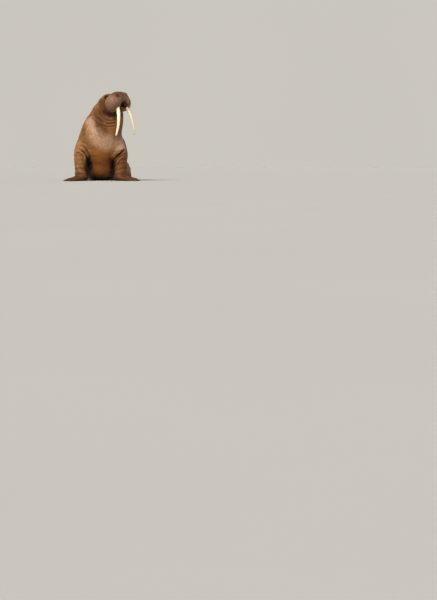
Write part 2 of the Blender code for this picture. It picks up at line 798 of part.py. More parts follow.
def centre_box(nodes):
    """Move the nodes so that the middle of their box stands over the origin."""
    corners = np.vstack([points_of(obj) for obj in nodes])
    middle = (corners.min(axis=0) + corners.max(axis=0)) / 2
    middle[2] = 0.0
    for obj in nodes:
        set_points(obj, points_of(obj) - middle)


def hand_over(nodes):
    """Give each node its material, and put them all in one collection."""
    home = bpy.data.collections.new("walrus")
    bpy.context.scene.collection.children.link(home)
    made = {name: material(name, colour, rough) for name, (colour, rough) in MATERIALS.items()}
    for obj in nodes:
        kind = obj.name.split("_")[0]
        obj.data.materials.clear()
        obj.data.materials.append(made[{"tusk": "ivory", "eye": "eye", "muzzle": "pad skin"}.get(kind, "hide")])
        for holder in list(obj.users_collection):
            holder.objects.unlink(obj)
        home.objects.link(obj)


def main():
    """Build the walrus and leave only its parts in the scene."""
    for obj in list(bpy.data.objects):
        bpy.data.objects.remove(obj)
    body = flesh()
    for obj in list(bpy.data.objects):
        if obj != body:
            discard(obj)
    wrinkle(body)
    thin(body, is_trunk, TRUNK_TRIANGLES)
    thin(body, is_limb, LIMB_TRIANGLES)
    thin(body, is_head, HEAD_TRIANGLES)
    settle(body)
    mouth = make_mouth()
    combine(body, mouth, "DIFFERENCE")
    discard(mouth)
    insets = [make_jaw("lower_jaw")]
    for name, side in SIDES.items():
        insets.append(make_eye("eye_" + name, side))
        insets.append(make_tusk("tusk_" + name, side))
    for inset in insets:
        set_in(body, inset)
    nodes = part_nodes(body) + insets
    muzzle = bpy.data.objects["muzzle"]
    whiskers = make_whiskers(muzzle)
    combine(muzzle, whiskers, "UNION", crossed=True)
    keep_largest(muzzle)
    discard(whiskers)
    centre_box(nodes)
    hand_over(nodes)


main()
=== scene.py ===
"""Looks of a life-size still walrus that sits up on its foreflippers, head raised and turned.

Metres, +Z up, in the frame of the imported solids. One skin is cast from the solids of flesh and worked
as clay: relaxed, folded, wrinkled and dimpled. Eyes, lids, tongue, tusks, whiskers, claws and the short
coat are pieces of their own.
"""

from __future__ import annotations

import logging
import math
from dataclasses import dataclass, field
from enum import Enum

import bmesh
import bpy
import numpy as np
from mathutils import Matrix, Vector
from mathutils.bvhtree import BVHTree

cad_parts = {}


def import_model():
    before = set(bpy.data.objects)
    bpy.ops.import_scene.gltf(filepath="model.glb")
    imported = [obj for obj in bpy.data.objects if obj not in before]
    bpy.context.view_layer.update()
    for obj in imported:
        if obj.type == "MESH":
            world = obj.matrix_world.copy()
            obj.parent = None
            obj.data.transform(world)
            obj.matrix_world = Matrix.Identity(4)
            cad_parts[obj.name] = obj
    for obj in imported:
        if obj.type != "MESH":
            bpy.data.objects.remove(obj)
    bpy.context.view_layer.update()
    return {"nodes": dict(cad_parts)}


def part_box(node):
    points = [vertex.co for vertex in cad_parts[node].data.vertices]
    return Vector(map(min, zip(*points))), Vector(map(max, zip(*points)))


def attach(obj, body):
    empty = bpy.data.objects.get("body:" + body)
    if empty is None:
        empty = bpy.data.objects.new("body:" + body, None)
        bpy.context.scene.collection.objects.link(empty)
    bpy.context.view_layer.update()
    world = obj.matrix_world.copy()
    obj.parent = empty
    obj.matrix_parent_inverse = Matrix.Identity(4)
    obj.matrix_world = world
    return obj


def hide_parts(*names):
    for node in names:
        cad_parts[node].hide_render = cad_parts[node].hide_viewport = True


LOG = logging.getLogger("walrus")
BODY = "root"
LEFT = Vector((1, 0, 0))
FRONT = Vector((0, -1, 0))
UP = Vector((0, 0, 1))
Colour = tuple[float, float, float]
Place = tuple[float, float, float]
Pair = tuple[float, float]
Line = tuple[tuple[float, ...], ...]
Piece = bpy.types.Object
Material = bpy.types.Material
Socket = bpy.types.NodeSocket
Array = np.ndarray


class Side(Enum):
    """The animal's own sides, with the sign that X or left takes on each."""

    LEFT = 1.0
    RIGHT = -1.0

    @property
    def word(self) -> str:
        """The side's name as the solids write it."""
        return self.name.lower()

    def pick(self, pair: tuple) -> object:
        """The left or the right one of a pair."""
        return pair[0] if self is Side.LEFT else pair[1]

    def mirror(self, place: Place | Array) -> Array:
        """A place of the head that is given for the left, on this side."""
        return np.array(place) * (1.0, self.value, 1.0)


# Nodes of flesh that the one skin stands for
FLESH = ("head", "muzzle", "lower_jaw", "neck", "torso", "hips", "tail") + tuple(
    f"{limb}_{side.word}" for limb in ("foreflipper", "hind_flipper") for side in Side
)


class Mark(Enum):
    """What the hide's colour follows, kept as a number at each point of the skin: its own tones, painted
    sheen and painted shade.
    """

    # Painted shade in creases, hollows and nostrils
    CREASE = "crease"
    PAD = "pad"
    EDGE = "edge"
    # Painted shade inside the mouth
    MAW = "maw"
    # Paler tone with painted sheen on the shoulder and chest
    PALE = "pale"
    # Painted shade under the head, along the pads, between the arms and belly, by the floor and round the
    # eyes
    DARK = "dark"
    # Darker reddish brown: the own tone of the cheeks, neck and hands, and painted shade under the head
    RED = "red"
    WARM = "warm"


@dataclass(frozen=True)
class Anatomy:
    """Places and sizes that the solids share with the looks.

    The animal's places are told from the point on the floor below its shoulders, as the solids tell
    them. The head's places are forward, left and up from the base of the skull. Each finger and toe has
    its angle in degrees and its length. A pair is the left one and the right one, or a start and an end.
    """

    head_base: Place = (0.086, -0.06, 1.15)
    head_turn: float = math.radians(43)
    head_lift: float = math.radians(22)
    head_lean: float = math.radians(3)
    eye: Place = (0.18, 0.117, 0.057)
    eye_radius: float = 0.023
    ear: Place = (0.045, 0.15, 0.035)
    nostril: Place = (0.412, 0.028, 0.04)
    pad: Place = (0.262, 0.104, -0.068)
    pad_radii: Place = (0.138, 0.116, 0.126)
    mouth: Place = (0.345, 0.006, -0.142)
    mouth_radii: Place = (0.085, 0.056, 0.042)
    tusk_root: Place = (0.302, 0.068, -0.07)
    tusk_length: float = 0.55
    tusk_radius: float = 0.031
    tusk_spread: Pair = (math.radians(15.8), math.radians(13.2))
    tusk_forward: Pair = (math.radians(14.6), math.radians(-38.5))
    spine: tuple[Place, ...] = (
        (0.092, -0.065, 1.2),
        (0.105, -0.03, 0.98),
        (0.063, 0.0, 0.86),
        (0.012, 0.05, 0.73),
        (0.005, 0.13, 0.59),
        (0.005, 0.29, 0.48),
        (0.01, 0.52, 0.435),
        (0.03, 0.8, 0.395),
        (0.06, 1.08, 0.33),
        (0.085, 1.32, 0.25),
        (0.108, 1.61, 0.115),
        (0.115, 1.76, 0.058),
    )
    wrist: Place = (0.3, -0.118, 0.0)
    fingers: tuple[Pair, ...] = ((-21, 0.34), (-10, 0.335), (1, 0.32), (12, 0.3), (23, 0.27))
    toes: tuple[Pair, ...] = ((-22, 0.45), (-11, 0.428), (0, 0.412), (11, 0.428), (22, 0.446))
    hand_turns: Pair = (math.radians(28), math.radians(40))
    ankles: tuple[Place, Place] = ((0.4, 1.49, 0.0), (-0.275, 1.49, 0.0))
    foot_turn: float = math.radians(84)

    def skull(self) -> Matrix:
        """The head's place and axes: its columns are forward, left and up."""
        axes = Matrix((FRONT, LEFT, UP)).transposed().to_4x4()
        turn = Matrix.Rotation(self.head_turn, 4, UP)
        lift = Matrix.Rotation(-self.head_lift, 4, LEFT)
        lean = Matrix.Rotation(self.head_lean, 4, FRONT)
        return Matrix.Translation(self.head_base) @ turn @ lift @ lean @ axes


@dataclass
class Walrus:
    """The animal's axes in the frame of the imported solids."""

    anatomy: Anatomy
    shift: Vector = field(init=False)
    head: Matrix = field(init=False)
    head_back: Array = field(init=False)

    def __post_init__(self) -> None:
        """Find how far the solids were moved to stand over their origin."""
        low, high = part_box("eye_left")
        self.shift = (low + high) / 2 - self.anatomy.skull() @ Vector(self.anatomy.eye)
        self.shift.z = 0.0
        self.head = Matrix.Translation(self.shift) @ self.anatomy.skull()
        self.head_back = np.array(self.head.inverted())

    def in_head(self, points: Array) -> Array:
        """Points in the head's axes.

        Args:
            points: Places in the frame.

        Returns:
            The same places forward, left and up from the base of the skull.
        """
        return points @ self.head_back[:3, :3].T + self.head_back[:3, 3]

    def in_body(self, points: Array) -> Array:
        """Points told from the floor below the shoulders."""
        return points - np.array(self.shift)

    def from_head(self, place: Place, side: Side = Side.LEFT) -> Vector:
        """A place of the head in the frame, on the side asked for."""
        return self.head @ Vector(side.mirror(place))

    def from_body(self, place: Place, side: Side = Side.LEFT) -> Vector:
        """A place of the body in the frame, on the side asked for."""
        return Vector((place[0] * side.value, place[1], place[2])) + self.shift

    def tusk_line(self, side: Side, steps: int) -> list[Vector]:
        """Points along a tusk.

        Args:
            side: Which tusk.
            steps: How many lengths it is divided into.

        Returns:
            Places in the frame, from the root in the jaw to the tip.
        """
        a = self.anatomy
        place = Vector(side.mirror(a.tusk_root))
        line = [place.copy()]
        for i in range(steps):
            share = (i + 0.5) / steps
            forward = a.tusk_forward[0] + (a.tusk_forward[1] - a.tusk_forward[0]) * share
            out = a.tusk_spread[0] + (a.tusk_spread[1] - a.tusk_spread[0]) * share
            way = Vector((math.sin(forward), math.sin(out) * side.value, -math.cos(forward)))
            place = place + way.normalized() * a.tusk_length / steps
            line.append(place.copy())
        return [self.head @ p for p in line]

    def rays(self, side: Side) -> list[tuple[str, Vector, list[tuple[Vector, float]]]]:
        """The fingers and toes of one side.

        Args:
            side: Which side.

        Returns:
            For the hand and the foot: its name, its root, and each ray's direction and length.
        """
        a = self.anatomy
        found = []
        for word, root, turn, rays in (
            ("hand", self.from_body(a.wrist, side), side.pick(a.hand_turns), a.fingers),
            ("foot", Vector(side.pick(a.ankles)) + self.shift, a.foot_turn, a.toes),
        ):
            way = Vector((side.value * math.cos(turn), -math.sin(turn), 0))
            spins = [Matrix.Rotation(math.radians(angle) * side.value, 3, UP) for angle, _ in rays]
            found.append((word, root, [(spin @ way, ray[1]) for spin, ray in zip(spins, rays)]))
        return found


def smooth_step(values: Array, low: float, high: float) -> Array:
    """0 below low, 1 above high, and an even slope between them."""
    t = np.clip((values - low) / (high - low), 0, 1)
    return t * t * (3 - 2 * t)


def fall(values: Array, low: float, high: float) -> Array:
    """1 below low, 0 above high, and an even slope between them."""
    return 1.0 - smooth_step(values, low, high)


def bell(values: Array, width: float) -> Array:
    """1 at zero, falling smoothly to nothing a few widths away."""
    return np.exp(-((values / width) ** 2))


def span(rows: Array) -> Array:
    """How long each row is."""
    return np.linalg.norm(rows, axis=1)


def stack(places: list[Vector]) -> Array:
    """Places as the rows of one array."""
    return np.array([tuple(place) for place in places])


def gather(
    items: bpy.types.bpy_prop_collection, name: str, width: int, kind: type = np.float32
) -> Array:
    """One property of all the points, edges, faces or corners of a mesh.

    Args:
        items: Whatever has the property.
        name: The property.
        width: How many numbers each item has.
        kind: What kind of number.

    Returns:
        One row for each item.
    """
    flat = np.empty(len(items) * width, kind)
    items.foreach_get(name, flat)
    return flat.reshape(-1, width)


def smooth_rows(rows: Line, steps: int) -> Array:
    """Points on a smooth curve through rows of numbers.

    Args:
        rows: The rows that the curve passes through.
        steps: How many points each stretch between two rows gets.

    Returns:
        The curve's points, one to a row.
    """
    given = np.array(rows, float)
    padded = np.vstack((2 * given[0] - given[1], given, 2 * given[-1] - given[-2]))
    made = []
    for i in range(1, len(padded) - 2):
        a, b, c, d = padded[i - 1 : i + 3]
        for t in np.arange(steps) / steps:
            bend = (2 * a - 5 * b + 4 * c - d) * t**2 + (3 * b - a - 3 * c + d) * t**3
            made.append(0.5 * (2 * b + (c - a) * t + bend))
    made.append(given[-1])
    return np.array(made)


def noise(points: Array, size: float | Place, seed: int, octaves: int = 2) -> Array:
    """Smooth lattice noise.

    Args:
        points: Where it is read.
        size: How wide its humps are, one number or one for each axis.
        seed: Which noise.
        octaves: How many finer layers are added, each half as strong.

    Returns:
        A value from about -1 to 1 at each point.
    """
    total = np.zeros(len(points))
    place = points / np.array(size) + seed * 7.31
    for octave in range(octaves):
        cell = np.floor(place).astype(np.int64)
        inside = place - cell
        ease = inside * inside * (3 - 2 * inside)
        value = np.zeros(len(points))
        for corner in range(8):
            step = np.array([corner & 1, corner >> 1 & 1, corner >> 2 & 1])
            mixed = (cell + step) @ np.array([73856093, 19349663, 83492791])
            mixed = (mixed ^ (mixed >> 13)) * 1274126177 & 0x7FFFFFFF
            share = np.prod(np.where(step, ease, 1 - ease), axis=1)
            value += share * ((mixed >> 8 & 0xFFFF) / 32767.5 - 1)
        total += value * 0.5**octave
        place = place * 2.03 + 5.7
    return total


def rolls(height: Array, spacing: float) -> Array:
    """Rounded rolls between narrow furrows, one above another.

    Args:
        height: How high each point lies, across the rolls.
        spacing: How far one furrow is from the next.

    Returns:
        From 0 in a furrow to 1 on a roll, at each point.
    """
    return np.abs(np.sin(height * math.pi / spacing)) ** 0.6


@dataclass(frozen=True)
class Relief:
    """Small shapes in the hide: how wide they are, which noise makes them, and how high they stand."""

    size: float | Place
    seed: int
    height: float
    octaves: int = 2

    def lumps(self, points: Array) -> Array:
        """Soft lumps and hollows, as a lift in metres."""
        return noise(points, self.size, self.seed, self.octaves) * self.height

    def ridges(self, points: Array, *shares: Array) -> Array:
        """Rounded ridges between narrow furrows.

        Args:
            points: Where they are read, in axes that lie along the wrinkles.
            shares: How much they show at each point, from 0 to 1.

        Returns:
            The lift in metres.
        """
        lift = np.sqrt(np.clip(np.abs(noise(points, self.size, self.seed)) * 1.7, 0, 1)) - 0.6
        for share in shares:
            lift = lift * share
        return lift * self.height


@dataclass
class Trace:
    """How a set of points lies to a line: distance, share of the line, its way, and the offset from it."""

    far: Array
    share: Array
    way: Array
    offset: Array


def trace(points: Array, line: Array) -> Trace:
    """Find the nearest place on a line for each point.

    Args:
        points: The points.
        line: Places along the line.

    Returns:
        The distances and the rest, one for each point.
    """
    far = np.full(len(points), np.inf)
    share = np.zeros(len(points))
    way = np.zeros((len(points), 3))
    offset = np.zeros((len(points), 3))
    marks = np.concatenate(([0.0], np.cumsum(span(np.diff(line, axis=0)))))
    for i in range(len(line) - 1):
        step = line[i + 1] - line[i]
        t = np.clip((points - line[i]) @ step / (step @ step), 0, 1)
        apart = points - line[i] - t[:, None] * step
        distance = span(apart)
        nearer = distance < far
        far[nearer] = distance[nearer]
        share[nearer] = (marks[i] + t * (marks[i + 1] - marks[i]))[nearer] / marks[-1]
        way[nearer] = step / np.linalg.norm(step)
        offset[nearer] = apart[nearer]
    return Trace(far, share, way, offset)


class Clay:
    """A mesh whose points are held as arrays while its surface is worked."""

    def __init__(self, obj: Piece) -> None:
        """Take up an object's mesh.

        Args:
            obj: The object to work.
        """
        self.obj = obj
        self.points = gather(obj.data.vertices, "co", 3).astype(float)
        self.ends = gather(obj.data.edges, "vertices", 2, np.int32)
        self.count = np.bincount(self.ends.ravel(), minlength=len(self.points)).clip(1)

    def normals(self) -> Array:
        """The direction that the surface faces at each point."""
        self.lay_down()
        return gather(self.obj.data.vertex_normals, "vector", 3).astype(float)

    def lay_down(self) -> None:
        """Write the points to the mesh."""
        self.obj.data.vertices.foreach_set("co", self.points.astype(np.float32).ravel())
        self.obj.data.update()

    def push(self, move: Array) -> None:
        """Move each point out along its normal by its own amount."""
        self.points += self.normals() * move[:, None]

    def spread(self, values: Array, rounds: int) -> Array:
        """Values at the points, blurred along the edges.

        Args:
            values: One number, or one row, for each point.
            rounds: How many times each point takes its neighbours' mean.

        Returns:
            The blurred values.
        """
        a, b = self.ends.T
        for _ in range(rounds):
            columns = values.reshape(len(values), -1)
            near = [
                np.bincount(a, columns[b, k], len(values)) + np.bincount(b, columns[a, k], len(values))
                for k in range(columns.shape[1])
            ]
            mean = (np.array(near) / self.count).T
            values = (0.5 * columns + 0.5 * mean).reshape(values.shape)
        return values

    def relax(self, weights: Array, rounds: int) -> None:
        """Smooth the surface by its weight at each point.

        Args:
            weights: From 0, untouched, to 1, smoothed in full.
            rounds: How many times.
        """
        for _ in range(rounds):
            self.points += (self.spread(self.points, 1) - self.points) * weights[:, None]

    def even(self, weights: Array, rounds: int) -> None:
        """Smooth the surface by its weight at each point, and swell it back to its size."""
        for _ in range(rounds):
            self.relax(weights, 1)
            self.relax(-1.05 * weights, 1)

    def hollows(self, rounds: int) -> Array:
        """How far each point lies below the blurred surface, in metres."""
        return np.sum((self.spread(self.points, rounds) - self.points) * self.normals(), axis=1)

    def note(self, name: str, values: Array) -> None:
        """Keep a number for each point as an attribute that the materials read."""
        attribute = self.obj.data.attributes.new(name, "FLOAT", "POINT")
        attribute.data.foreach_set("value", values.astype(np.float32))


def link(name: str, mesh: bpy.types.Mesh) -> Piece:
    """A new object that shows the mesh."""
    obj = bpy.data.objects.new(name, mesh)
    bpy.context.scene.collection.objects.link(obj)
    return obj


def from_shape(name: str, shape: bmesh.types.BMesh) -> Piece:
    """A new object from a bmesh, which is freed.

    Args:
        name: The object's name.
        shape: What it is made from.

    Returns:
        The object, shaded smooth.
    """
    mesh = bpy.data.meshes.new(name)
    shape.to_mesh(mesh)
    shape.free()
    mesh.shade_smooth()
    return link(name, mesh)


def apply_modifiers(obj: Piece) -> None:
    """Replace the object's mesh by what its modifiers make of it."""
    graph = bpy.context.evaluated_depsgraph_get()
    mesh = bpy.data.meshes.new_from_object(obj.evaluated_get(graph))
    obj.modifiers.clear()
    obj.data = mesh


def dress(obj: Piece, finish: Material, slot: str, *nodes: str) -> Piece:
    """Give a piece its finish and its place on the frame.

    Args:
        obj: The finished piece.
        finish: Its material.
        slot: The material slot that it belongs to; not used.
        nodes: The solids that it stands for.

    Returns:
        The piece.
    """
    obj.data.materials.clear()
    obj.data.materials.append(finish)
    if nodes:
        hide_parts(*nodes)
    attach(obj, BODY)
    LOG.info("%s: %d faces", obj.name, len(obj.data.polygons))
    return obj


class NodeSheet:
    """A material's node tree while it is wired."""

    def __init__(self, name: str) -> None:
        """Start a material with its shader.

        Args:
            name: The material's name.
        """
        self.material = bpy.data.materials.new(name)
        self.material.use_nodes = True
        self.tree = self.material.node_tree
        self.shader = self.tree.nodes["Principled BSDF"]
        self.place = self.tree.nodes.new("ShaderNodeTexCoord").outputs["Object"]

    def feed(self, socket: Socket, value: object) -> None:
        """Link an output to the socket, or set it to a plain value."""
        if isinstance(value, Socket):
            self.tree.links.new(value, socket)
        else:
            socket.default_value = value

    def node(self, kind: str, settings: dict[str, object], *values: object) -> bpy.types.Node:
        """A node with its settings and the values of its first inputs.

        Args:
            kind: The node's type without ShaderNode.
            settings: Its own properties.
            values: A value or an output for each input in turn, or None to leave it.

        Returns:
            The node.
        """
        made = self.tree.nodes.new("ShaderNode" + kind)
        for name, value in settings.items():
            setattr(made, name, value)
        for socket, value in zip(made.inputs, values):
            if value is not None:
                self.feed(socket, value)
        return made

    def stretch(self, sizes: Place, turn: Place = (0, 0, 0)) -> Socket:
        """Object coordinates divided by sizes, after a turn."""
        return self.node("Mapping", {"vector_type": "TEXTURE"}, self.place, None, turn, sizes).outputs[0]

    def noise(self, size: float, detail: float = 3.0, place: Socket | None = None) -> Socket:
        """A noise whose humps are about size wide, from 0 to 1."""
        made = self.node("TexNoise", {}, place or self.place)
        made.inputs["Scale"].default_value = 1.0 / size
        made.inputs["Detail"].default_value = detail
        return made.outputs[0]

    def cells(self, size: float) -> Socket:
        """How far each place is from the middle of its cell, in a pattern of cells about size wide."""
        made = self.node("TexVoronoi", {"feature": "F1"}, self.place)
        made.inputs["Scale"].default_value = 1.0 / size
        return made.outputs["Distance"]

    def veins(self, size: float, width: float, place: Socket) -> Socket:
        """Winding furrows about size apart: 0 in a furrow and 1 on the plain between."""
        level = self.math("SUBTRACT", self.noise(size, 3, place), 0.5)
        return self.between(self.math("ABSOLUTE", level), 0.0, width)

    def attribute(self, name: str) -> Socket:
        """A number that the mesh keeps for each point."""
        return self.node("Attribute", {"attribute_name": name}).outputs["Fac"]

    def spot(self, centre: Vector, reach: float, soft: float) -> Socket:
        """1 around a place in the frame, falling to 0 between reach and reach plus soft."""
        far = self.node("VectorMath", {"operation": "DISTANCE"}, self.place, tuple(centre)).outputs["Value"]
        return self.between(far, reach + soft, reach)

    def between(self, value: Socket, low: float, high: float, to: Pair = (0.0, 1.0)) -> Socket:
        """The value eased from low to high onto the range to."""
        made = self.node("MapRange", {"interpolation_type": "SMOOTHSTEP"}, value, low, high, *to)
        return made.outputs["Result"]

    def math(self, operation: str, a: object, b: object = 0.0) -> Socket:
        """The result of a sum on two values."""
        return self.node("Math", {"operation": operation}, a, b).outputs[0]

    def mix(self, share: object, a: object, b: object, blend: str = "MIX") -> Socket:
        """Colour a blended towards b by share."""
        made = self.node("Mix", {"data_type": "RGBA", "blend_type": blend})
        for socket, value in ((made.inputs[0], share), (made.inputs[6], a), (made.inputs[7], b)):
            self.feed(socket, (*value, 1.0) if isinstance(value, tuple) else value)
        return made.outputs[2]

    def tint(self, colour: object, tone: object, share: object, strength: object) -> Socket:
        """The colour with a tone over it where share shows, as strongly as told."""
        return self.mix(self.math("MULTIPLY", share, strength), colour, tone)

    def bump(self, layers: list[tuple[object, float]]) -> None:
        """Lay bumps over one another.

        Args:
            layers: A height from 0 to 1 and its depth in metres, for each layer.
        """
        normal = None
        for height, depth in layers:
            made = self.node("Bump", {})
            made.inputs["Strength"].default_value = 1.0
            made.inputs["Distance"].default_value = depth
            self.feed(made.inputs["Height"], height)
            if normal is not None:
                self.feed(made.inputs["Normal"], normal)
            normal = made.outputs["Normal"]
        self.feed(self.shader.inputs["Normal"], normal)

    def settle(self, **sockets: object) -> Material:
        """Set or link the shader's sockets, named with _ for a space, and hand the material over."""
        for name, value in sockets.items():
            self.feed(self.shader.inputs[name.replace("_", " ")], value)
        return self.material


@dataclass(frozen=True)
class HideFinish:
    """Short-haired brown hide: warm brown, paler with painted sheen on the chest, mauve on the pads, painted
    shade in its folds.
    """

    walrus: Walrus
    brown: Colour = (0.262, 0.116, 0.036)
    umber: Colour = (0.165, 0.066, 0.018)
    tan: Colour = (0.355, 0.19, 0.082)
    # Paler tone and painted sheen
    pale: Colour = (0.56, 0.365, 0.245)
    # Darker reddish brown, also used as painted shade under the head
    russet: Colour = (0.116, 0.037, 0.007)
    rust: Colour = (0.285, 0.092, 0.015)
    # Painted shade in creases, hollows and nostrils
    soot: Colour = (0.01, 0.003, 0.001)
    shade: Colour = (0.014, 0.004, 0.001)
    blush: Colour = (0.19, 0.092, 0.052)
    pad: Colour = (0.225, 0.132, 0.084)
    pad_deep: Colour = (0.155, 0.084, 0.05)
    snout: Colour = (0.15, 0.06, 0.016)
    snout_patch: Colour = (0.045, 0.016, 0.005)
    # Painted shade inside the mouth
    mouth: Colour = (0.042, 0.014, 0.005)
    lining: Colour = (0.26, 0.088, 0.022)
    lining_place: Place = (0.345, 0.052, -0.128)

    @property
    def face(self) -> tuple[tuple[Place, float, float, float, Colour], ...]:
        """Spots on the muzzle: place in the head's axes, reach, softness, strength and colour."""
        return (
            ((0.315, 0.0, 0.11), 0.075, 0.06, 0.85, self.snout),
            ((0.37, -0.122, 0.032), 0.032, 0.05, 0.85, self.snout),
            ((0.37, 0.122, 0.032), 0.032, 0.05, 0.85, self.snout),
            ((0.398, -0.104, -0.006), 0.014, 0.04, 0.7, self.snout_patch),
        )

    def colour(self, sheet: NodeSheet) -> Socket:
        """The hide's tones with their painted sheen and painted shade, which the skin and the coat share.

        Args:
            sheet: The material being wired.

        Returns:
            The colour output.
        """
        mark = {m: sheet.attribute(m.value) for m in Mark}
        broad = sheet.between(sheet.noise(0.38, 4), 0.38, 0.62)
        colour = sheet.mix(broad, self.umber, self.brown)
        colour = sheet.mix(sheet.between(sheet.noise(0.085, 5), 0.45, 0.75, (0.0, 0.5)), colour, self.tan)
        # Reddish brown tone, with painted shade under the head
        colour = sheet.mix(mark[Mark.RED], colour, self.russet)
        colour = sheet.mix(mark[Mark.WARM], colour, self.rust)
        # Paler tone with a speckled painted sheen on the shoulder and chest
        speckle = sheet.between(sheet.noise(0.026, 5), 0.36, 0.66, (0.52, 1.0))
        colour = sheet.tint(colour, self.pale, mark[Mark.PALE], speckle)
        colour = sheet.mix(self.pads(sheet, mark[Mark.PAD]), colour, self.brush(sheet))
        for place, reach, soft, share, tone in self.face:
            spot = sheet.spot(self.walrus.from_head(place), reach, soft)
            colour = sheet.tint(colour, tone, spot, share)
        colour = sheet.tint(colour, self.blush, mark[Mark.EDGE], 0.25)
        mottle = sheet.between(sheet.noise(0.022, 6), 0.3, 0.7, (0.84, 1.12))
        grey = sheet.node("CombineXYZ", {}, mottle, mottle, mottle).outputs[0]
        colour = sheet.mix(1.0, colour, grey, "MULTIPLY")
        # Painted shade
        colour = sheet.mix(mark[Mark.DARK], colour, self.shade)
        # Painted shade in the creases and hollows
        colour = sheet.mix(mark[Mark.CREASE], colour, self.soot)
        # Painted shade inside the mouth
        colour = sheet.mix(mark[Mark.MAW], colour, self.mouth)
        lining = sheet.spot(self.walrus.from_head(self.lining_place), 0.006, 0.02)
        return sheet.tint(colour, self.lining, lining, 0.75)

    def pads(self, sheet: NodeSheet, share: Socket) -> Socket:
        """How far the pads' own colour covers the brown, with a ragged border."""
        ragged = sheet.math("ADD", share, sheet.between(sheet.noise(0.03, 4), 0.3, 0.7, (-0.25, 0.25)))
        return sheet.between(ragged, 0.25, 0.85, (0.0, 0.92))

    def brush(self, sheet: NodeSheet) -> Socket:
        """The pads' mauve, with darker streaks that run down them."""
        turn = (0.0, self.walrus.anatomy.head_lift, 0.0)
        streak = sheet.noise(0.02, 4, sheet.stretch((0.45, 0.45, 2.6), turn))
        return sheet.mix(sheet.between(streak, 0.4, 0.66), self.pad, self.pad_deep)

    def skin(self) -> Material:
        """The hide of the skin, with its leathery grain."""
        sheet = NodeSheet("hide")
        plain = sheet.attribute(Mark.PAD.value)
        wide = sheet.math("MAXIMUM", sheet.veins(0.06, 0.07, sheet.stretch((1.5, 1.5, 0.8))), plain)
        fine = sheet.math("MAXIMUM", sheet.veins(0.02, 0.09, sheet.stretch((1.3, 1.3, 0.8))), plain)
        lines = sheet.noise(0.03, 5, sheet.stretch((2.4, 2.4, 0.7)))
        hair = sheet.noise(0.004, 3, sheet.stretch((0.8, 0.8, 2.4)))
        pits = sheet.between(sheet.cells(0.012), 0.0, 0.3)
        pores = sheet.math("MAXIMUM", pits, sheet.math("SUBTRACT", 1.0, plain))
        sheet.bump([(lines, 0.002), (wide, 0.0006), (fine, 0.0004), (pores, 0.001), (hair, 0.0007)])
        return sheet.settle(
            Base_Color=self.colour(sheet),
            Roughness=sheet.between(sheet.noise(0.05, 4), 0.3, 0.7, (0.48, 0.64)),
            Sheen_Weight=0.02, Sheen_Roughness=0.45, Sheen_Tint=(1.0, 0.8, 0.64, 1.0), Specular_IOR_Level=0.15
        )

    def coat(self) -> Material:
        """The short hair, in the skin's colours."""
        sheet = NodeSheet("short hair")
        sheet.bump([(sheet.noise(0.0015, 2), 0.0003)])
        rough = sheet.between(sheet.noise(0.02, 3), 0.3, 0.7, (0.45, 0.6))
        return sheet.settle(Base_Color=self.colour(sheet), Roughness=rough, Specular_IOR_Level=0.06)


@dataclass(frozen=True)
class IvoryFinish:
    """Cream ivory, browned at the root and in its long cracks."""

    cream: Colour = (0.92, 0.705, 0.5)
    honey: Colour = (0.66, 0.42, 0.22)
    crack: Colour = (0.38, 0.23, 0.11)

    def material(self, side: Side) -> Material:
        """The finish of one tusk.

        Args:
            side: Which tusk, because the grain runs along it.

        Returns:
            The material.
        """
        sheet = NodeSheet("ivory " + side.word)
        streak = sheet.noise(1.0, 6, self.lanes(sheet, 9.0, 3.0))
        colour = sheet.mix(sheet.between(streak, 0.38, 0.78, (0.0, 0.35)), self.cream, self.honey)
        browned = sheet.between(sheet.attribute("along"), 0.34, 0.2, (0.0, 0.7))
        colour = sheet.mix(browned, colour, self.honey)
        cracks = sheet.between(sheet.noise(1.0, 3, self.lanes(sheet, 30.0, 2.2)), 0.36, 0.3)
        whole = sheet.math("SUBTRACT", 1.0, cracks)
        sheet.bump([(streak, 0.0012), (whole, 0.0005), (sheet.noise(0.004, 3), 0.0002)])
        return sheet.settle(
            Base_Color=sheet.tint(colour, self.crack, cracks, 0.45),
            Roughness=sheet.between(streak, 0.3, 0.7, (0.24, 0.42)),
            Subsurface_Weight=0.12, Subsurface_Scale=0.01, Coat_Weight=0.1, Coat_Roughness=0.2
        )

    def lanes(self, sheet: NodeSheet, around: float, along: float) -> Socket:
        """A place that runs around times as fast round the tusk, and along times as fast down it."""
        wide = sheet.math("MULTIPLY", sheet.attribute("around"), around)
        tall = sheet.math("MULTIPLY", sheet.attribute("along"), along)
        return sheet.node("CombineXYZ", {}, wide, tall).outputs[0]


@dataclass(frozen=True)
class EyeFinish:
    """A wet dark eye: black pupil, brown iris, dull red-brown rim."""

    pupil: Colour = (0.002, 0.001, 0.001)
    iris: Colour = (0.03, 0.011, 0.005)
    rim: Colour = (0.09, 0.035, 0.022)

    def material(self, side: Side, pole: Vector) -> Material:
        """The finish of one eye.

        Args:
            side: Which eye.
            pole: The middle of the pupil, in the frame.

        Returns:
            The material.
        """
        sheet = NodeSheet("eye " + side.word)
        iris = sheet.mix(sheet.noise(0.0015, 4), self.iris, self.pupil)
        colour = sheet.mix(sheet.spot(pole, 0.014, 0.003), self.rim, iris)
        colour = sheet.mix(sheet.spot(pole, 0.0068, 0.002), colour, self.pupil)
        sheet.bump([(sheet.noise(0.006, 2), 0.0001)])
        return sheet.settle(Base_Color=colour, Roughness=0.2, Specular_IOR_Level=0.12)


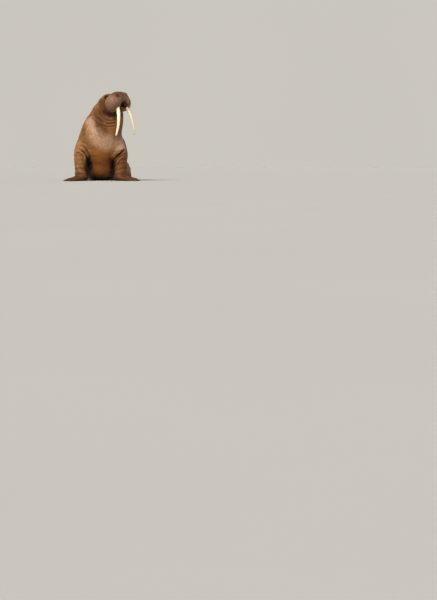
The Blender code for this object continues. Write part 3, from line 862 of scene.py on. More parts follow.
@dataclass(frozen=True)
class TongueFinish:
    """Wet orange-brown flesh with fine bumps."""

    light: Colour = (0.24, 0.076, 0.018)
    deep: Colour = (0.1, 0.026, 0.008)

    def material(self) -> Material:
        """The finish of the tongue."""
        sheet = NodeSheet("tongue")
        patches = sheet.between(sheet.noise(0.02, 4), 0.35, 0.65)
        buds = sheet.between(sheet.cells(0.003), 0.0, 0.5)
        sheet.bump([(sheet.noise(0.01, 3), 0.0012), (buds, 0.0005)])
        return sheet.settle(
            Base_Color=sheet.mix(patches, self.light, self.deep),
            Roughness=0.44, Specular_IOR_Level=0.3, Subsurface_Weight=0.1, Subsurface_Scale=0.008
        )


@dataclass(frozen=True)
class HornFinish:
    """Horn and bristle, paler towards the tip."""

    name: str
    root: Colour
    tip: Colour
    roughness: float = 0.42

    def material(self) -> Material:
        """The finish, which reads along from 0 at a root to 1 at a tip."""
        sheet = NodeSheet(self.name)
        fibre = sheet.noise(0.003, 4)
        share = sheet.math("ADD", sheet.attribute("along"), sheet.between(fibre, 0.3, 0.7, (-0.12, 0.12)))
        sheet.bump([(fibre, 0.0003)])
        colour = sheet.mix(share, self.root, self.tip)
        return sheet.settle(Base_Color=colour, Roughness=self.roughness, Specular_IOR_Level=0.25)


@dataclass(frozen=True)
class Stroke:
    """A soft patch of colour on the front, along a line of x and z, and how far back it runs."""

    mark: Mark
    line: Line
    reach: float
    soft: float
    weight: float
    back: float = 0.0


def deepen(marks: dict[Mark, Array], mark: Mark, values: Array) -> None:
    """Raise a mark to the values where they are stronger."""
    marks[mark] = np.maximum(marks[mark], values)


@dataclass
class Markings:
    """Where the hide is paler, darker or redder than the rest: its own tones, painted sheen and painted
    shade.
    """

    walrus: Walrus
    strokes: tuple[Stroke, ...] = (
        # Paler tone and painted sheen on the shoulder and across the chest
        Stroke(Mark.PALE, ((-0.16, 0.9), (-0.135, 0.81), (-0.095, 0.73)), 0.015, 0.095, 0.72),
        Stroke(Mark.PALE, ((-0.08, 0.69), (0.03, 0.62), (0.16, 0.57), (0.3, 0.57)), 0.045, 0.13, 0.6),
        # Painted shade: under the head, between the arms and the belly, along the floor, under the pads, and
        # on the hands by the floor
        Stroke(Mark.DARK, ((0.1, 0.99), (0.01, 0.93), (-0.01, 0.82), (0.04, 0.74)), 0.015, 0.075, 0.25),
        Stroke(Mark.DARK, ((-0.19, 0.33), (-0.195, 0.23), (-0.185, 0.03)), 0.016, 0.062, 0.97, 0.3),
        Stroke(Mark.DARK, ((0.168, 0.3), (0.192, 0.2), (0.188, 0.03)), 0.016, 0.062, 0.97, 0.3),
        Stroke(Mark.DARK, ((-0.18, 0.0), (0.18, 0.0)), 0.04, 0.12, 0.95, 0.5),
        Stroke(Mark.DARK, ((0.08, 1.05), (0.165, 1.0), (0.24, 1.008)), 0.014, 0.046, 0.8),
        Stroke(Mark.DARK, ((-0.56, 0.01), (-0.33, 0.02)), 0.05, 0.06, 0.4),
        Stroke(Mark.DARK, ((0.56, 0.01), (0.33, 0.02)), 0.05, 0.06, 0.4),
        Stroke(Mark.WARM, ((0.02, 0.33), (0.02, 0.08)), 0.08, 0.15, 0.8, 0.2),
        # Reddish brown with painted shade under the head and down the throat
        Stroke(Mark.RED, ((0.07, 1.13), (0.01, 1.02), (-0.02, 0.9), (0.02, 0.76)), 0.045, 0.085, 0.9),
        Stroke(Mark.RED, ((0.33, 0.42), (0.33, 0.05)), 0.085, 0.1, 0.85),
        Stroke(Mark.RED, ((-0.56, 0.02), (-0.3, 0.04)), 0.06, 0.08, 0.9),
        Stroke(Mark.RED, ((0.56, 0.02), (0.3, 0.04)), 0.06, 0.08, 0.9),
    )

    def read(self, points: Array) -> dict[Mark, Array]:
        """How strong each mark is at each point.

        Args:
            points: Places on the skin.

        Returns:
            For the marks that are strokes, a number from 0 to 1 for each point.
        """
        body = self.walrus.in_body(points)
        seen = np.column_stack((body[:, 0], np.zeros(len(body)), body[:, 2]))
        ragged = noise(body, 0.07, 71, 2) * 0.022
        found = {mark: np.zeros(len(points)) for mark in (Mark.PALE, Mark.DARK, Mark.RED, Mark.WARM)}
        for stroke in self.strokes:
            line = np.array([(x, 0.0, z) for x, z in smooth_rows(stroke.line, 4)])
            far = trace(seen, line).far + ragged
            fore = fall(body[:, 1], stroke.back - 0.02, stroke.back + 0.16)
            share = fall(far, stroke.reach, stroke.reach + stroke.soft) * stroke.weight * fore
            deepen(found, stroke.mark, share)
        return found


@dataclass(frozen=True)
class Fold:
    """A crease in the hide: how deep and wide it is, and places along it."""

    depth: float
    width: float
    line: Line
    roll: float = 0.5


@dataclass
class Folds:
    """All the creases that run along a line, found once on the smooth skin.

    The front's lines are x and z as seen from the front. The head's are in its axes, on both sides.
    """

    walrus: Walrus
    skin: Piece
    front: tuple[Fold, ...] = (
        Fold(0.03, 0.013, ((0.378, 0.478), (0.325, 0.445), (0.255, 0.377), (0.2, 0.29), (0.17, 0.19)), 0.9),
        Fold(0.019, 0.011, ((0.35, 0.402), (0.285, 0.368), (0.24, 0.318), (0.212, 0.24), (0.205, 0.17)), 0.8),
        Fold(0.01, 0.01, ((0.31, 0.478), (0.245, 0.42), (0.195, 0.34), (0.165, 0.26))),
        Fold(0.01, 0.01, ((0.4, 0.33), (0.335, 0.326), (0.285, 0.29), (0.255, 0.23)), 0.7),
        Fold(0.024, 0.013, ((-0.365, 0.5), (-0.3, 0.475), (-0.24, 0.41), (-0.205, 0.32), (-0.19, 0.21)), 0.8),
        Fold(
            0.014, 0.011,
            ((-0.335, 0.56), (-0.27, 0.535), (-0.212, 0.47), (-0.175, 0.39), (-0.16, 0.31)), 0.7,
        ),
        Fold(0.012, 0.011, ((-0.395, 0.44), (-0.33, 0.43), (-0.27, 0.385), (-0.24, 0.32)), 0.7),
        Fold(0.008, 0.01, ((-0.3, 0.61), (-0.24, 0.58), (-0.185, 0.52), (-0.145, 0.44))),
        Fold(0.009, 0.01, ((0.06, 0.955), (0.125, 0.922), (0.195, 0.925), (0.27, 0.96))),
        Fold(0.009, 0.01, ((0.07, 0.9), (0.135, 0.87), (0.205, 0.878), (0.275, 0.905))),
        Fold(0.006, 0.01, ((0.03, 0.85), (0.11, 0.822), (0.19, 0.83), (0.26, 0.85))),
        Fold(0.008, 0.012, ((-0.13, 1.06), (-0.06, 0.975), (0.01, 0.915), (0.08, 0.88))),
        Fold(0.007, 0.012, ((-0.15, 0.99), (-0.075, 0.905), (0.0, 0.85), (0.08, 0.825))),
    )
    head: tuple[Fold, ...] = (
        Fold(
            0.012, 0.008,
            ((0.212, 0.128, 0.078), (0.172, 0.15, 0.02), (0.13, 0.19, -0.085), (0.135, 0.185, -0.19)), 0.4,
        ),
        Fold(
            0.007, 0.005,
            ((0.125, 0.15, 0.03), (0.16, 0.155, 0.006), (0.205, 0.15, 0.008), (0.24, 0.132, 0.03)),
        ),
        Fold(0.005, 0.005, ((0.11, 0.155, 0.01), (0.15, 0.16, -0.018), (0.19, 0.158, -0.016))),
        Fold(0.006, 0.005, ((0.12, 0.135, 0.084), (0.17, 0.122, 0.112), (0.225, 0.104, 0.1))),
        Fold(0.007, 0.008, ((0.04, 0.2, -0.06), (0.015, 0.19, -0.13), (0.02, 0.15, -0.2))),
        Fold(0.006, 0.008, ((0.09, 0.2, -0.06), (0.07, 0.195, -0.14), (0.08, 0.15, -0.215))),
        Fold(0.004, 0.005, ((0.225, 0.06, 0.1), (0.255, 0.085, 0.09), (0.285, 0.11, 0.07))),
        Fold(0.004, 0.005, ((0.3, 0.0, 0.1), (0.315, 0.05, 0.09), (0.32, 0.085, 0.065))),
        Fold(0.004, 0.004, ((0.36, 0.03, 0.07), (0.39, 0.05, 0.058), (0.405, 0.06, 0.03))),
    )
    cleft: Fold = Fold(
        0.011, 0.007, ((0.43, 0, 0.03), (0.44, 0, 0.0), (0.44, 0, -0.03), (0.438, 0, -0.06)), 0.3
    )
    roll_place: float = 2.0
    roll_width: float = 1.3
    # Crease depth at which the painted shade is full
    full_depth: float = 0.012
    laid: list[tuple[Fold, Array]] = field(default_factory=list)

    def __post_init__(self) -> None:
        """Lay every fold's line on the skin."""
        for fold in self.front:
            self.lay(fold, self.on_front(fold.line))
        self.lay(self.cleft, self.on_head(self.cleft.line, Side.LEFT))
        for side in Side:
            for fold in self.head:
                self.lay(fold, self.on_head(fold.line, side))

    def lay(self, fold: Fold, places: list[Vector]) -> None:
        """Keep a fold with its places on the skin."""
        if len(places) > 2:
            self.laid.append((fold, stack(places)))

    def on_front(self, line: Line) -> list[Vector]:
        """The places on the skin that are seen from the front along a line of x and z.

        Args:
            line: The line.

        Returns:
            The places where it meets the skin.
        """
        found = []
        for x, z in smooth_rows(line, 6):
            hit, place, _, _ = self.skin.ray_cast(self.walrus.from_body((x, -3.0, z)), -FRONT)
            if hit:
                found.append(place)
        return found

    def on_head(self, line: Line, side: Side) -> list[Vector]:
        """The places on the skin nearest to a line in the head's axes."""
        places = [self.walrus.from_head(place, side) for place in smooth_rows(line, 5)]
        return [self.skin.closest_point_on_mesh(place)[1] for place in places]

    def read(self, points: Array, normals: Array) -> tuple[Array, Array]:
        """What the folds do at each point.

        Args:
            points: Places on the skin.
            normals: The way the skin faces there.

        Returns:
            How far out each point moves, and how deep in a crease it lies from 0 to 1, which is painted as
            shade.
        """
        move = np.zeros(len(points))
        dark = np.zeros(len(points))
        for fold, line in self.laid:
            reach = 5 * fold.width
            near = np.all((points > line.min(axis=0) - reach) & (points < line.max(axis=0) + reach), axis=1)
            found = trace(points[near], line)
            fade = smooth_step(found.share, 0.0, 0.2) * fall(found.share, 0.8, 1.0)
            far = found.far / fold.width
            beside = np.sum(np.cross(found.way, normals[near]) * found.offset, axis=1) / fold.width
            swell = bell(beside - self.roll_place, self.roll_width)
            swell = swell + 0.4 * bell(beside + self.roll_place, self.roll_width)
            swell *= np.exp(-((far / 4.5) ** 4))
            move[near] += fold.depth * fade * (fold.roll * 0.6 * swell - bell(far, 1))
            # Painted shade, deepest along the crease
            shade = fade * bell(far, 0.8) * min(1.0, fold.depth / self.full_depth)
            dark[near] = np.maximum(dark[near], shade)
        return move, dark


@dataclass(frozen=True)
class Orbit:
    """How the skin lies round an eye: heights above the ball, and angles from the gaze in degrees.

    Under the lids it lies in a bed, climbs to cover their edge, and falls away into the face.
    """

    bed: float = 0.0028
    cover: float = 0.0066
    least: float = 0.006
    slit: float = 0.0075
    slit_spare: float = math.radians(3)
    climb: Pair = (49, 60)
    bed_end: float = 62
    hold: float = 57
    drop: Pair = (76, 100)
    hold_drop: Pair = (75, 100)
    soft: Pair = (60, 72)
    soft_rounds: int = 12
    reach: float = 0.06
    fade: Pair = (0.036, 0.052)


@dataclass
class Skin:
    """The one skin over all the flesh. Sizes are in metres, and rounds say how often a patch is relaxed."""

    walrus: Walrus
    nodes: dict[str, Piece]
    voxel: float = 0.006
    face_count: int = 190000
    inside: float = 0.002
    roll_spacing: float = 0.074
    roll_height: float = 0.0105
    roll_middle: float = 0.65
    roll_climb: float = 0.22
    roll_drop: float = 0.16
    flank_spacing: float = 0.085
    flank_height: float = 0.011
    warp: Relief = Relief(0.16, 3, 0.022)
    arm_lines: Relief = Relief((0.16, 0.16, 0.026), 11, 0.003)
    neck_lines: Relief = Relief((0.22, 0.22, 0.05), 21, 0.011)
    back_lines: Relief = Relief((0.3, 0.3, 0.045), 31, 0.005)
    broad: Relief = Relief(0.2, 41, 0.0045, 3)
    middling: Relief = Relief((0.05, 0.05, 0.032), 51, 0.0014, 3)
    fine: Relief = Relief(0.018, 61, 0.0006)
    ray_ridge: Pair = (0.0055, 0.015)
    knuckle: float = 0.016
    nostril_radii: Place = (0.015, 0.0095, 0.014)
    nostril_depth: float = 0.022
    ear_radii: Place = (0.014, 0.02, 0.014)
    ear_depth: float = 0.012
    collar: Pair = (0.006, 0.011)
    gum_rounds: tuple[int, ...] = (14, 6, 0)
    gum_gap: float = 0.01
    tusk_steps: int = 24
    root_plugs: int = 4
    # Where the painted shade inside the mouth lies, in the head's axes
    maw_place: Place = (0.348, 0.016, -0.142)
    maw_radii: Place = (0.088, 0.072, 0.048)
    root_cover: float = 0.004
    swell_out: float = 0.0004
    fine_from: float = 0.14
    body_rounds: int = 70
    floor_rounds: int = 12
    nose_rounds: int = 40
    floor_gap: float = 0.0008
    orbit: Orbit = Orbit()

    def build(self, finish: HideFinish) -> Piece:
        """Make the skin.

        Args:
            finish: Its colours.

        Returns:
            The dressed piece.
        """
        obj = self.cast()
        clay = Clay(obj)
        self.smooth(clay)
        folds = Folds(self.walrus, obj)
        self.work(clay, folds)
        self.thin(obj)
        self.mark(Clay(obj), folds)
        obj.data.shade_smooth()
        return dress(obj, finish.skin(), "hide", *FLESH)

    def cast(self) -> Piece:
        """One closed surface over the solids of flesh, closed round the tusks' roots."""
        shape = bmesh.new()
        for name in FLESH:
            shape.from_mesh(self.nodes[name].data)
        bmesh.ops.remove_doubles(shape, verts=shape.verts, dist=1e-5)
        shape.normal_update()
        for vert in shape.verts:
            vert.co += vert.normal * self.swell_out
        plug = self.walrus.anatomy.tusk_radius + self.root_cover
        for side in Side:
            for place in self.walrus.tusk_line(side, self.tusk_steps)[: self.root_plugs]:
                spot = Matrix.Translation(place)
                bmesh.ops.create_icosphere(shape, subdivisions=3, radius=plug, matrix=spot)
        obj = from_shape("walrus_skin", shape)
        remesh = obj.modifiers.new("cast", "REMESH")
        remesh.mode = "VOXEL"
        remesh.voxel_size = self.voxel
        apply_modifiers(obj)
        self.keep_outside(obj)
        return obj

    def keep_outside(self, obj: Piece) -> None:
        """Remove whatever isn't joined to the outer surface, and divide the faces of the head finer.

        Args:
            obj: The cast skin.
        """
        shape = bmesh.new()
        shape.from_mesh(obj.data)
        start = max(shape.verts, key=lambda v: v.co.z)
        seen = {start}
        front = [start]
        while front:
            vert = front.pop()
            for edge in vert.link_edges:
                other = edge.other_vert(vert)
                if other not in seen:
                    seen.add(other)
                    front.append(other)
        bmesh.ops.delete(shape, geom=[v for v in shape.verts if v not in seen], context="VERTS")
        fine = self.walrus.in_head(stack([v.co for v in shape.verts]))[:, 0] > self.fine_from
        shape.verts.index_update()
        edges = [e for e in shape.edges if fine[e.verts[0].index] and fine[e.verts[1].index]]
        bmesh.ops.subdivide_edges(shape, edges=edges, cuts=1, use_grid_fill=True, smooth=0.0)
        shape.to_mesh(obj.data)
        shape.free()

    def smooth(self, clay: Clay) -> None:
        """Take the flats and the old folds out of the cast surface, and sink it below the short hair.

        Args:
            clay: The cast skin.
        """
        body = self.walrus.in_body(clay.points)
        local = self.walrus.in_head(clay.points)
        face = smooth_step(local[:, 0], 0.02, 0.14) * smooth_step(body[:, 2], 0.92, 1.02)
        low = fall(body[:, 2], 0.05, 0.14)
        arm = fall(body[:, 2], 0.25, 0.5) * fall(body[:, 1], 0.0, 0.1)
        weight = np.clip(1.0 - 0.75 * face - 0.9 * low - 0.45 * arm, 0.06, 1.0)
        clay.relax(weight, self.body_rounds)
        clay.even(0.9 * low, self.floor_rounds)
        aside = np.column_stack((local[:, 0], np.abs(local[:, 1]), local[:, 2]))
        nose = fall(span(aside - self.walrus.anatomy.nostril), 0.02, 0.04)
        clay.relax(nose, self.nose_rounds)
        clay.push(-self.inside * (1 - 0.75 * low))

    def work(self, clay: Clay, folds: Folds) -> None:
        """Press the folds and wrinkles in, and clear the eyes, the tusks and the floor.

        Args:
            clay: The smooth skin.
            folds: The creases laid on it.
        """
        move, _ = folds.read(clay.points, clay.normals())
        clay.push(move)
        clay.push(self.wrinkle(clay.points))
        clay.push(self.finger_ridges(clay.points))
        a = self.walrus.anatomy
        for side in Side:
            self.press_pit(clay, side.mirror(a.nostril), self.nostril_radii, self.nostril_depth)
            self.press_pit(clay, side.mirror(a.ear), self.ear_radii, self.ear_depth)
            self.open_gum(clay, side)
            self.open_socket(clay, side)
        clay.points[:, 2] = np.maximum(clay.points[:, 2], self.floor_gap)
        clay.lay_down()

    def regions(self, points: Array) -> dict[str, Array]:
        """How much each point belongs to each region of the body.

        A region begins or ends over a stretch in metres: up from the floor, out from the middle, back
        along the body, or forward along the head.

        Args:
            points: Places on the skin.

        Returns:
            A number from 0 to 1 for each point, by region.
        """
        body = self.walrus.in_body(points)
        local = self.walrus.in_head(points)
        x, y, z = body.T
        out = np.abs(x)
        head = smooth_step(local[:, 0], 0.0, 0.12) * smooth_step(z, 0.9, 1.0)
        hand = fall(z, 0.05, 0.11)
        arm = smooth_step(out, 0.16, 0.22) * fall(y, 0.04, 0.14) * fall(z, 0.42, 0.56)
        neck = smooth_step(z, 0.78, 0.9) * (1 - head)
        hips = smooth_step(y, 0.55, 0.95)
        a = self.walrus.anatomy
        radii = np.array(a.pad_radii)
        near = np.minimum(*(span((local - side.mirror(a.pad)) / radii) for side in Side))
        pad = fall(near, 1.02, 1.16) * smooth_step(local[:, 0], 0.14, 0.21)
        border = bell(near - 1.2, 0.11) * fall(local[:, 0], 0.22, 0.3) * head
        names = ("head", "hand", "arm", "neck", "hips", "pad", "border")
        return dict(zip(names, (head, hand, arm, neck, hips, pad, border)))

    def wrinkle(self, points: Array) -> Array:
        """How far the wrinkles lift each point of the smooth skin.

        Args:
            points: Places on the skin.

        Returns:
            The lift in metres.
        """
        body = self.walrus.in_body(points)
        region = self.regions(points)
        x, y, z = body.T
        arm, bare = region["arm"], 1 - region["hand"]
        warp = self.warp.lumps(body)
        # The arm's rolls climb towards the back and drop outwards
        level = z + self.roll_climb * (y + 0.1) - self.roll_drop * (np.abs(x) - 0.3) + warp
        strength = 0.55 + 0.45 * noise(body, (0.12, 0.12, 0.05), 5, 1)
        lift = rolls(level, self.roll_spacing) - self.roll_middle
        lift = lift * arm * bare * strength * self.roll_height
        lift += self.arm_lines.ridges(np.column_stack((x, y, level)), arm, bare)
        # The neck's wrinkles run round it, deep on the nape and shallow on the throat
        nape = region["neck"] * smooth_step(y, -0.05, 0.1)
        throat = region["neck"] * fall(y, -0.1, 0.02) * 0.35
        lift += self.neck_lines.ridges(np.column_stack((x, y, z - 0.3 * y + warp)), nape + throat)
        # The flanks' rolls fan out from the middle of the back
        slant = (1.4 * np.abs(x - 0.06) - z - 0.25 * (y - 1.1)) / 1.72 + warp
        flank = region["hips"] * fall(z, 0.36, 0.56) * smooth_step(z, 0.02, 0.08)
        soft = 0.6 + 0.4 * noise(body, 0.22, 33, 1)
        lift += (rolls(slant, self.flank_spacing) - self.roll_middle) * flank * soft * self.flank_height
        back = smooth_step(y, 0.1, 0.4) * bare
        lift += self.back_lines.ridges(np.column_stack((x * 0.6, y, slant)), back)
        lift += self.broad.lumps(body) * (1 - np.maximum(region["head"], region["hand"]))
        lift += self.middling.lumps(body) * (1 - 0.7 * region["head"]) * (0.4 + 0.6 * bare)
        lift += self.fine.lumps(body) * (0.3 + 0.7 * bare)
        return lift

    def finger_ridges(self, points: Array) -> Array:
        """How far the bones of the fingers and toes lift the paddles.

        Args:
            points: Places on the skin.

        Returns:
            The lift in metres.
        """
        height, width = self.ray_ridge
        lift = np.zeros(len(points))
        low = fall(points[:, 2], 0.07, 0.12)
        for side in Side:
            for _, root, rays in self.walrus.rays(side):
                for way, length in rays:
                    away = points - np.array(root)
                    along = away @ np.array(way)
                    across = np.abs(away[:, 0] * way.y - away[:, 1] * way.x)
                    reach = smooth_step(along, 0.04, 0.14) * fall(along, length - 0.05, length)
                    ridge = bell(across, width) * (1 + 0.25 * np.cos(along / self.knuckle))
                    lift += height * (ridge - 0.35 * bell(across, 2.2 * width)) * reach * low
        return lift

    def press_pit(self, clay: Clay, middle: Array, radii: Place, depth: float) -> None:
        """Press a soft pit into the head.

        Args:
            clay: The skin.
            middle: The pit's middle in the head's axes.
            radii: How wide it is in the head's axes.
            depth: How deep it goes.
        """
        away = (self.walrus.in_head(clay.points) - middle) / np.array(radii)
        weight = np.exp(-np.sum(away * away, axis=1) ** 1.6)
        way = np.sum(clay.normals() * weight[:, None], axis=0)
        clay.points -= (weight * depth)[:, None] * way / np.linalg.norm(way)

    def open_gum(self, clay: Clay, side: Side) -> None:
        """Move the skin out of a tusk, with a soft raised collar where the tusk comes out.

        Args:
            clay: The skin.
            side: Which tusk.
        """
        line = stack(self.walrus.tusk_line(side, self.tusk_steps))
        tusk = Tusk(self.walrus, side)
        radius = self.walrus.anatomy.tusk_radius * tusk.girth * 0.97 + 0.0006
        low, high = line.min(axis=0) - 0.06, line.max(axis=0) + 0.06
        near = np.flatnonzero(np.all((clay.points > low) & (clay.points < high), axis=1))
        forward = np.array(self.walrus.head.col[0].xyz)
        swell, reach = self.collar
        ring = np.zeros(len(clay.points))
        for rounds in self.gum_rounds:
            found = trace(clay.points[near], line)
            aside = np.sum(np.cross(found.way, forward) * found.offset, axis=1)
            far = np.sqrt(found.far**2 + aside**2 * (1 / tusk.narrow**2 - 1))
            gap = far - radius
            upper = fall(found.share, 0.42, 0.52) * smooth_step(found.share, 0.09, 0.15)
            ring[near] = bell(gap.clip(0), reach) * upper
            wanted = radius + gap.clip(0) * smooth_step(gap, 0.0, self.gum_gap)
            clay.points[near] += found.offset * ((wanted / far.clip(1e-6) - 1) * upper)[:, None]
            if rounds:
                clay.push(ring * swell * 0.5)
                clay.relax(ring, rounds)

    def open_socket(self, clay: Clay, side: Side) -> None:
        """Sink the skin below the eyeball and lids, and raise it round them as a soft rim.

        Args:
            clay: The skin.
            side: Which eye.
        """
        eye, orbit = Eye(self.walrus, side), self.orbit
        radius = self.walrus.anatomy.eye_radius
        away = clay.points - np.array(eye.centre)
        far = span(away)
        near = np.flatnonzero(far < orbit.reach)
        away, far = away[near], far[near]
        out = away @ np.array(eye.gaze) / far
        angle = np.degrees(np.arccos(np.clip(out, -1, 1)))
        rise = np.arcsin(np.clip(away @ np.array(eye.lift) / far, -1, 1))
        swing = np.arctan2(away @ np.array(eye.across) / far, out)
        edge = eye.edge(swing, np.where(rise > 0, eye.open_up, eye.open_down)) + orbit.slit_spare
        inside = fall(np.abs(rise) / edge, 1.0, 1.3) * (np.abs(swing) < eye.corner)
        over = smooth_step(angle, *orbit.climb) * fall(angle, *orbit.drop)
        rim = radius + orbit.bed + (orbit.cover - orbit.bed) * over - orbit.slit * inside
        wanted = np.where(angle < orbit.bed_end, rim, np.maximum(far, rim))
        fade = fall(far, *orbit.fade)
        wanted = far + (wanted - far) * fade
        clay.points[near] += away * (wanted / far - 1)[:, None]
        weight = np.zeros(len(clay.points))
        weight[near] = smooth_step(angle, *orbit.soft) * fade * 0.8
        clay.relax(weight, orbit.soft_rounds)
        away = clay.points[near] - np.array(eye.centre)
        far = span(away)
        least = np.where(angle > orbit.hold, radius + orbit.least * fall(angle, *orbit.hold_drop), far)
        clay.points[near] += away * (np.maximum(least, far) / far - 1)[:, None]

    def thin(self, obj: Piece) -> None:
        """Collapse edges where the surface is plain, down to the number of faces allowed.

        Args:
            obj: The worked skin.
        """
        obj.data.calc_loop_triangles()
        total = len(obj.data.loop_triangles)
        if total > self.face_count:
            reduce = obj.modifiers.new("thin", "DECIMATE")
            reduce.ratio = self.face_count / total
            apply_modifiers(obj)
        LOG.info("skin thinned from %d to %d", total, len(obj.data.polygons))

    def mark(self, clay: Clay, folds: Folds) -> None:
        """Keep what the finish reads: creases and the inside of the mouth as painted shade, pads, edges, and
        the tones with painted sheen and shade.

        Args:
            clay: The thinned skin.
            folds: The creases laid on it.
        """
        points = clay.points
        local = self.walrus.in_head(points)
        body = self.walrus.in_body(points)
        region = self.regions(points)
        _, dark = folds.read(points, clay.normals())
        # Painted shade in the folds and in the skin's hollows
        hollow = smooth_step(clay.hollows(6), 0.0004, 0.0032)
        marks = Markings(self.walrus).read(points)
        marks[Mark.CREASE] = np.clip(0.65 * dark + 0.6 * hollow, 0, 0.92)
        outer = 0.72 + 0.28 * smooth_step(np.abs(local[:, 1]) - 0.6 * local[:, 2], 0.03, 0.13)
        front = smooth_step(local[:, 0], 0.33, 0.38) * fall(local[:, 2], 0.02, 0.07)
        marks[Mark.PAD] = clay.spread(np.maximum(region["pad"] * outer, 0.75 * front), 4)
        rim = fall(body[:, 2], 0.012, 0.03) * smooth_step(np.abs(body[:, 0]), 0.3, 0.4)
        marks[Mark.EDGE] = clay.spread(rim, 3)
        cheek = smooth_step(local[:, 0], -0.06, 0.06) * smooth_step(body[:, 2], 0.92, 1.02)
        cheek = cheek * (1 - region["pad"])
        deepen(marks, Mark.RED, 0.85 * cheek * (1 - 0.55 * smooth_step(local[:, 2], 0.03, 0.09)))
        # Painted shade on the lower cheeks and round the pads
        shaded = 0.3 * cheek * fall(local[:, 2], 0.05, 0.12)
        deepen(marks, Mark.DARK, np.maximum(shaded, 0.6 * region["border"]))
        maw = span((local - np.array(self.maw_place)) / np.array(self.maw_radii))
        marks[Mark.MAW] = fall(maw, 0.92, 1.12)
        for side in Side:
            eye = Eye(self.walrus, side)
            far = span(points - np.array(eye.centre + eye.gaze * 0.012))
            # Painted shade in the eye's socket
            deepen(marks, Mark.DARK, 0.93 * fall(far, 0.027, 0.058))
            hole = side.mirror(self.walrus.anatomy.nostril)
            far = span((local - hole) / np.array((2.2, 0.9, 1.3)))
            # Painted shade in the nostrils
            deepen(marks, Mark.CREASE, 0.95 * fall(far, 0.006, 0.016))
        for mark, values in marks.items():
            clay.note(mark.value, values)


@dataclass
class Tusk:
    """One tusk: a fluted, cracked and worn ivory cone that bends back."""

    walrus: Walrus
    side: Side
    rings: int = 72
    sides: int = 40
    narrow: float = 0.86
    girths: Pair = (0.78, 1.0)
    tip_start: float = 0.955
    tip_round: float = 0.045
    flutes: tuple[Place, ...] = ((0.045, 0.4, 0.16), (0.03, 1.7, 0.13))

    @property
    def girth(self) -> float:
        """How thick the tusk is against its solid."""
        return self.side.pick(self.girths)

    def radius(self, share: float, turn: float) -> float:
        """How thick the tusk is at a share of its length, in a direction round it.

        Args:
            share: How far from the root to the tip.
            turn: The direction, in radians.

        Returns:
            The radius in metres.
        """
        taper = (1 - 0.1 * share - 0.55 * share**3) * min(1.0, 0.7 + 2.2 * share)
        past = max(0.0, share - self.tip_start) / self.tip_round
        worn = math.sqrt(max(0.0, 1 - past**2)) * self.girth
        fluted = 1.0
        for depth, place, width in self.flutes:
            fluted -= depth * math.exp(-((math.sin(turn * 0.5 + place) / width) ** 2))
        ripple = 1 + 0.01 * math.sin(5 * turn + 9 * share) + 0.012 * math.sin(share * 31 + self.side.value)
        return self.walrus.anatomy.tusk_radius * taper * max(worn, 0.05) * fluted * ripple

    def build(self, finish: IvoryFinish) -> Piece:
        """Make the tusk.

        Args:
            finish: Its ivory.

        Returns:
            The dressed piece.
        """
        line = self.walrus.tusk_line(self.side, self.rings)
        shape = bmesh.new()
        along = shape.verts.layers.float.new("along")
        around = shape.verts.layers.float.new("around")
        ring = bmesh.ops.create_circle(shape, segments=self.sides, radius=1.0)["verts"]
        bmesh.ops.contextual_create(shape, geom=list({e for v in ring for e in v.link_edges}))
        for i in range(len(line)):
            if i:
                edges = list({e for v in ring for e in v.link_edges if all(o in ring for o in e.verts)})
                grown = bmesh.ops.extrude_edge_only(shape, edges=edges)["geom"]
                old = ring
                ring = [v for v in grown if isinstance(v, bmesh.types.BMVert)]
                order = {}
                for v in ring:
                    order[v] = min(range(len(old)), key=lambda k, v=v: (old[k].co - v.co).length_squared)
                ring.sort(key=order.get)
            self.set_ring(ring, line, i, along, around)
        bmesh.ops.pointmerge(shape, verts=ring, merge_co=line[-1])
        bmesh.ops.recalc_face_normals(shape, faces=shape.faces)
        obj = from_shape("ivory_tusk_" + self.side.word, shape)
        return dress(obj, finish.material(self.side), "ivory", "tusk_" + self.side.word)

    def set_ring(
        self, ring: list[bmesh.types.BMVert], line: list[Vector], i: int, along: object, around: object
    ) -> None:
        """Lay one ring of points round the tusk's line.

        Args:
            ring: The points, in order.
            line: The tusk's line.
            i: Which place on it.
            along: The layer for the share of the length.
            around: The layer for the direction round it.
        """
        way = (line[min(i + 1, len(line) - 1)] - line[max(i - 1, 0)]).normalized()
        forward = self.walrus.head.col[0].xyz
        across = (forward - way * forward.dot(way)).normalized()
        deep = way.cross(across)
        share = i / (len(line) - 1)
        for k, vert in enumerate(ring):
            turn = math.tau * k / len(ring)
            radius = self.radius(share, turn)
            aside = across * math.cos(turn) * radius
            vert.co = line[i] + aside + deep * math.sin(turn) * radius * self.narrow
            vert[along] = share
            vert[around] = abs(k / len(ring) * 2 - 1)


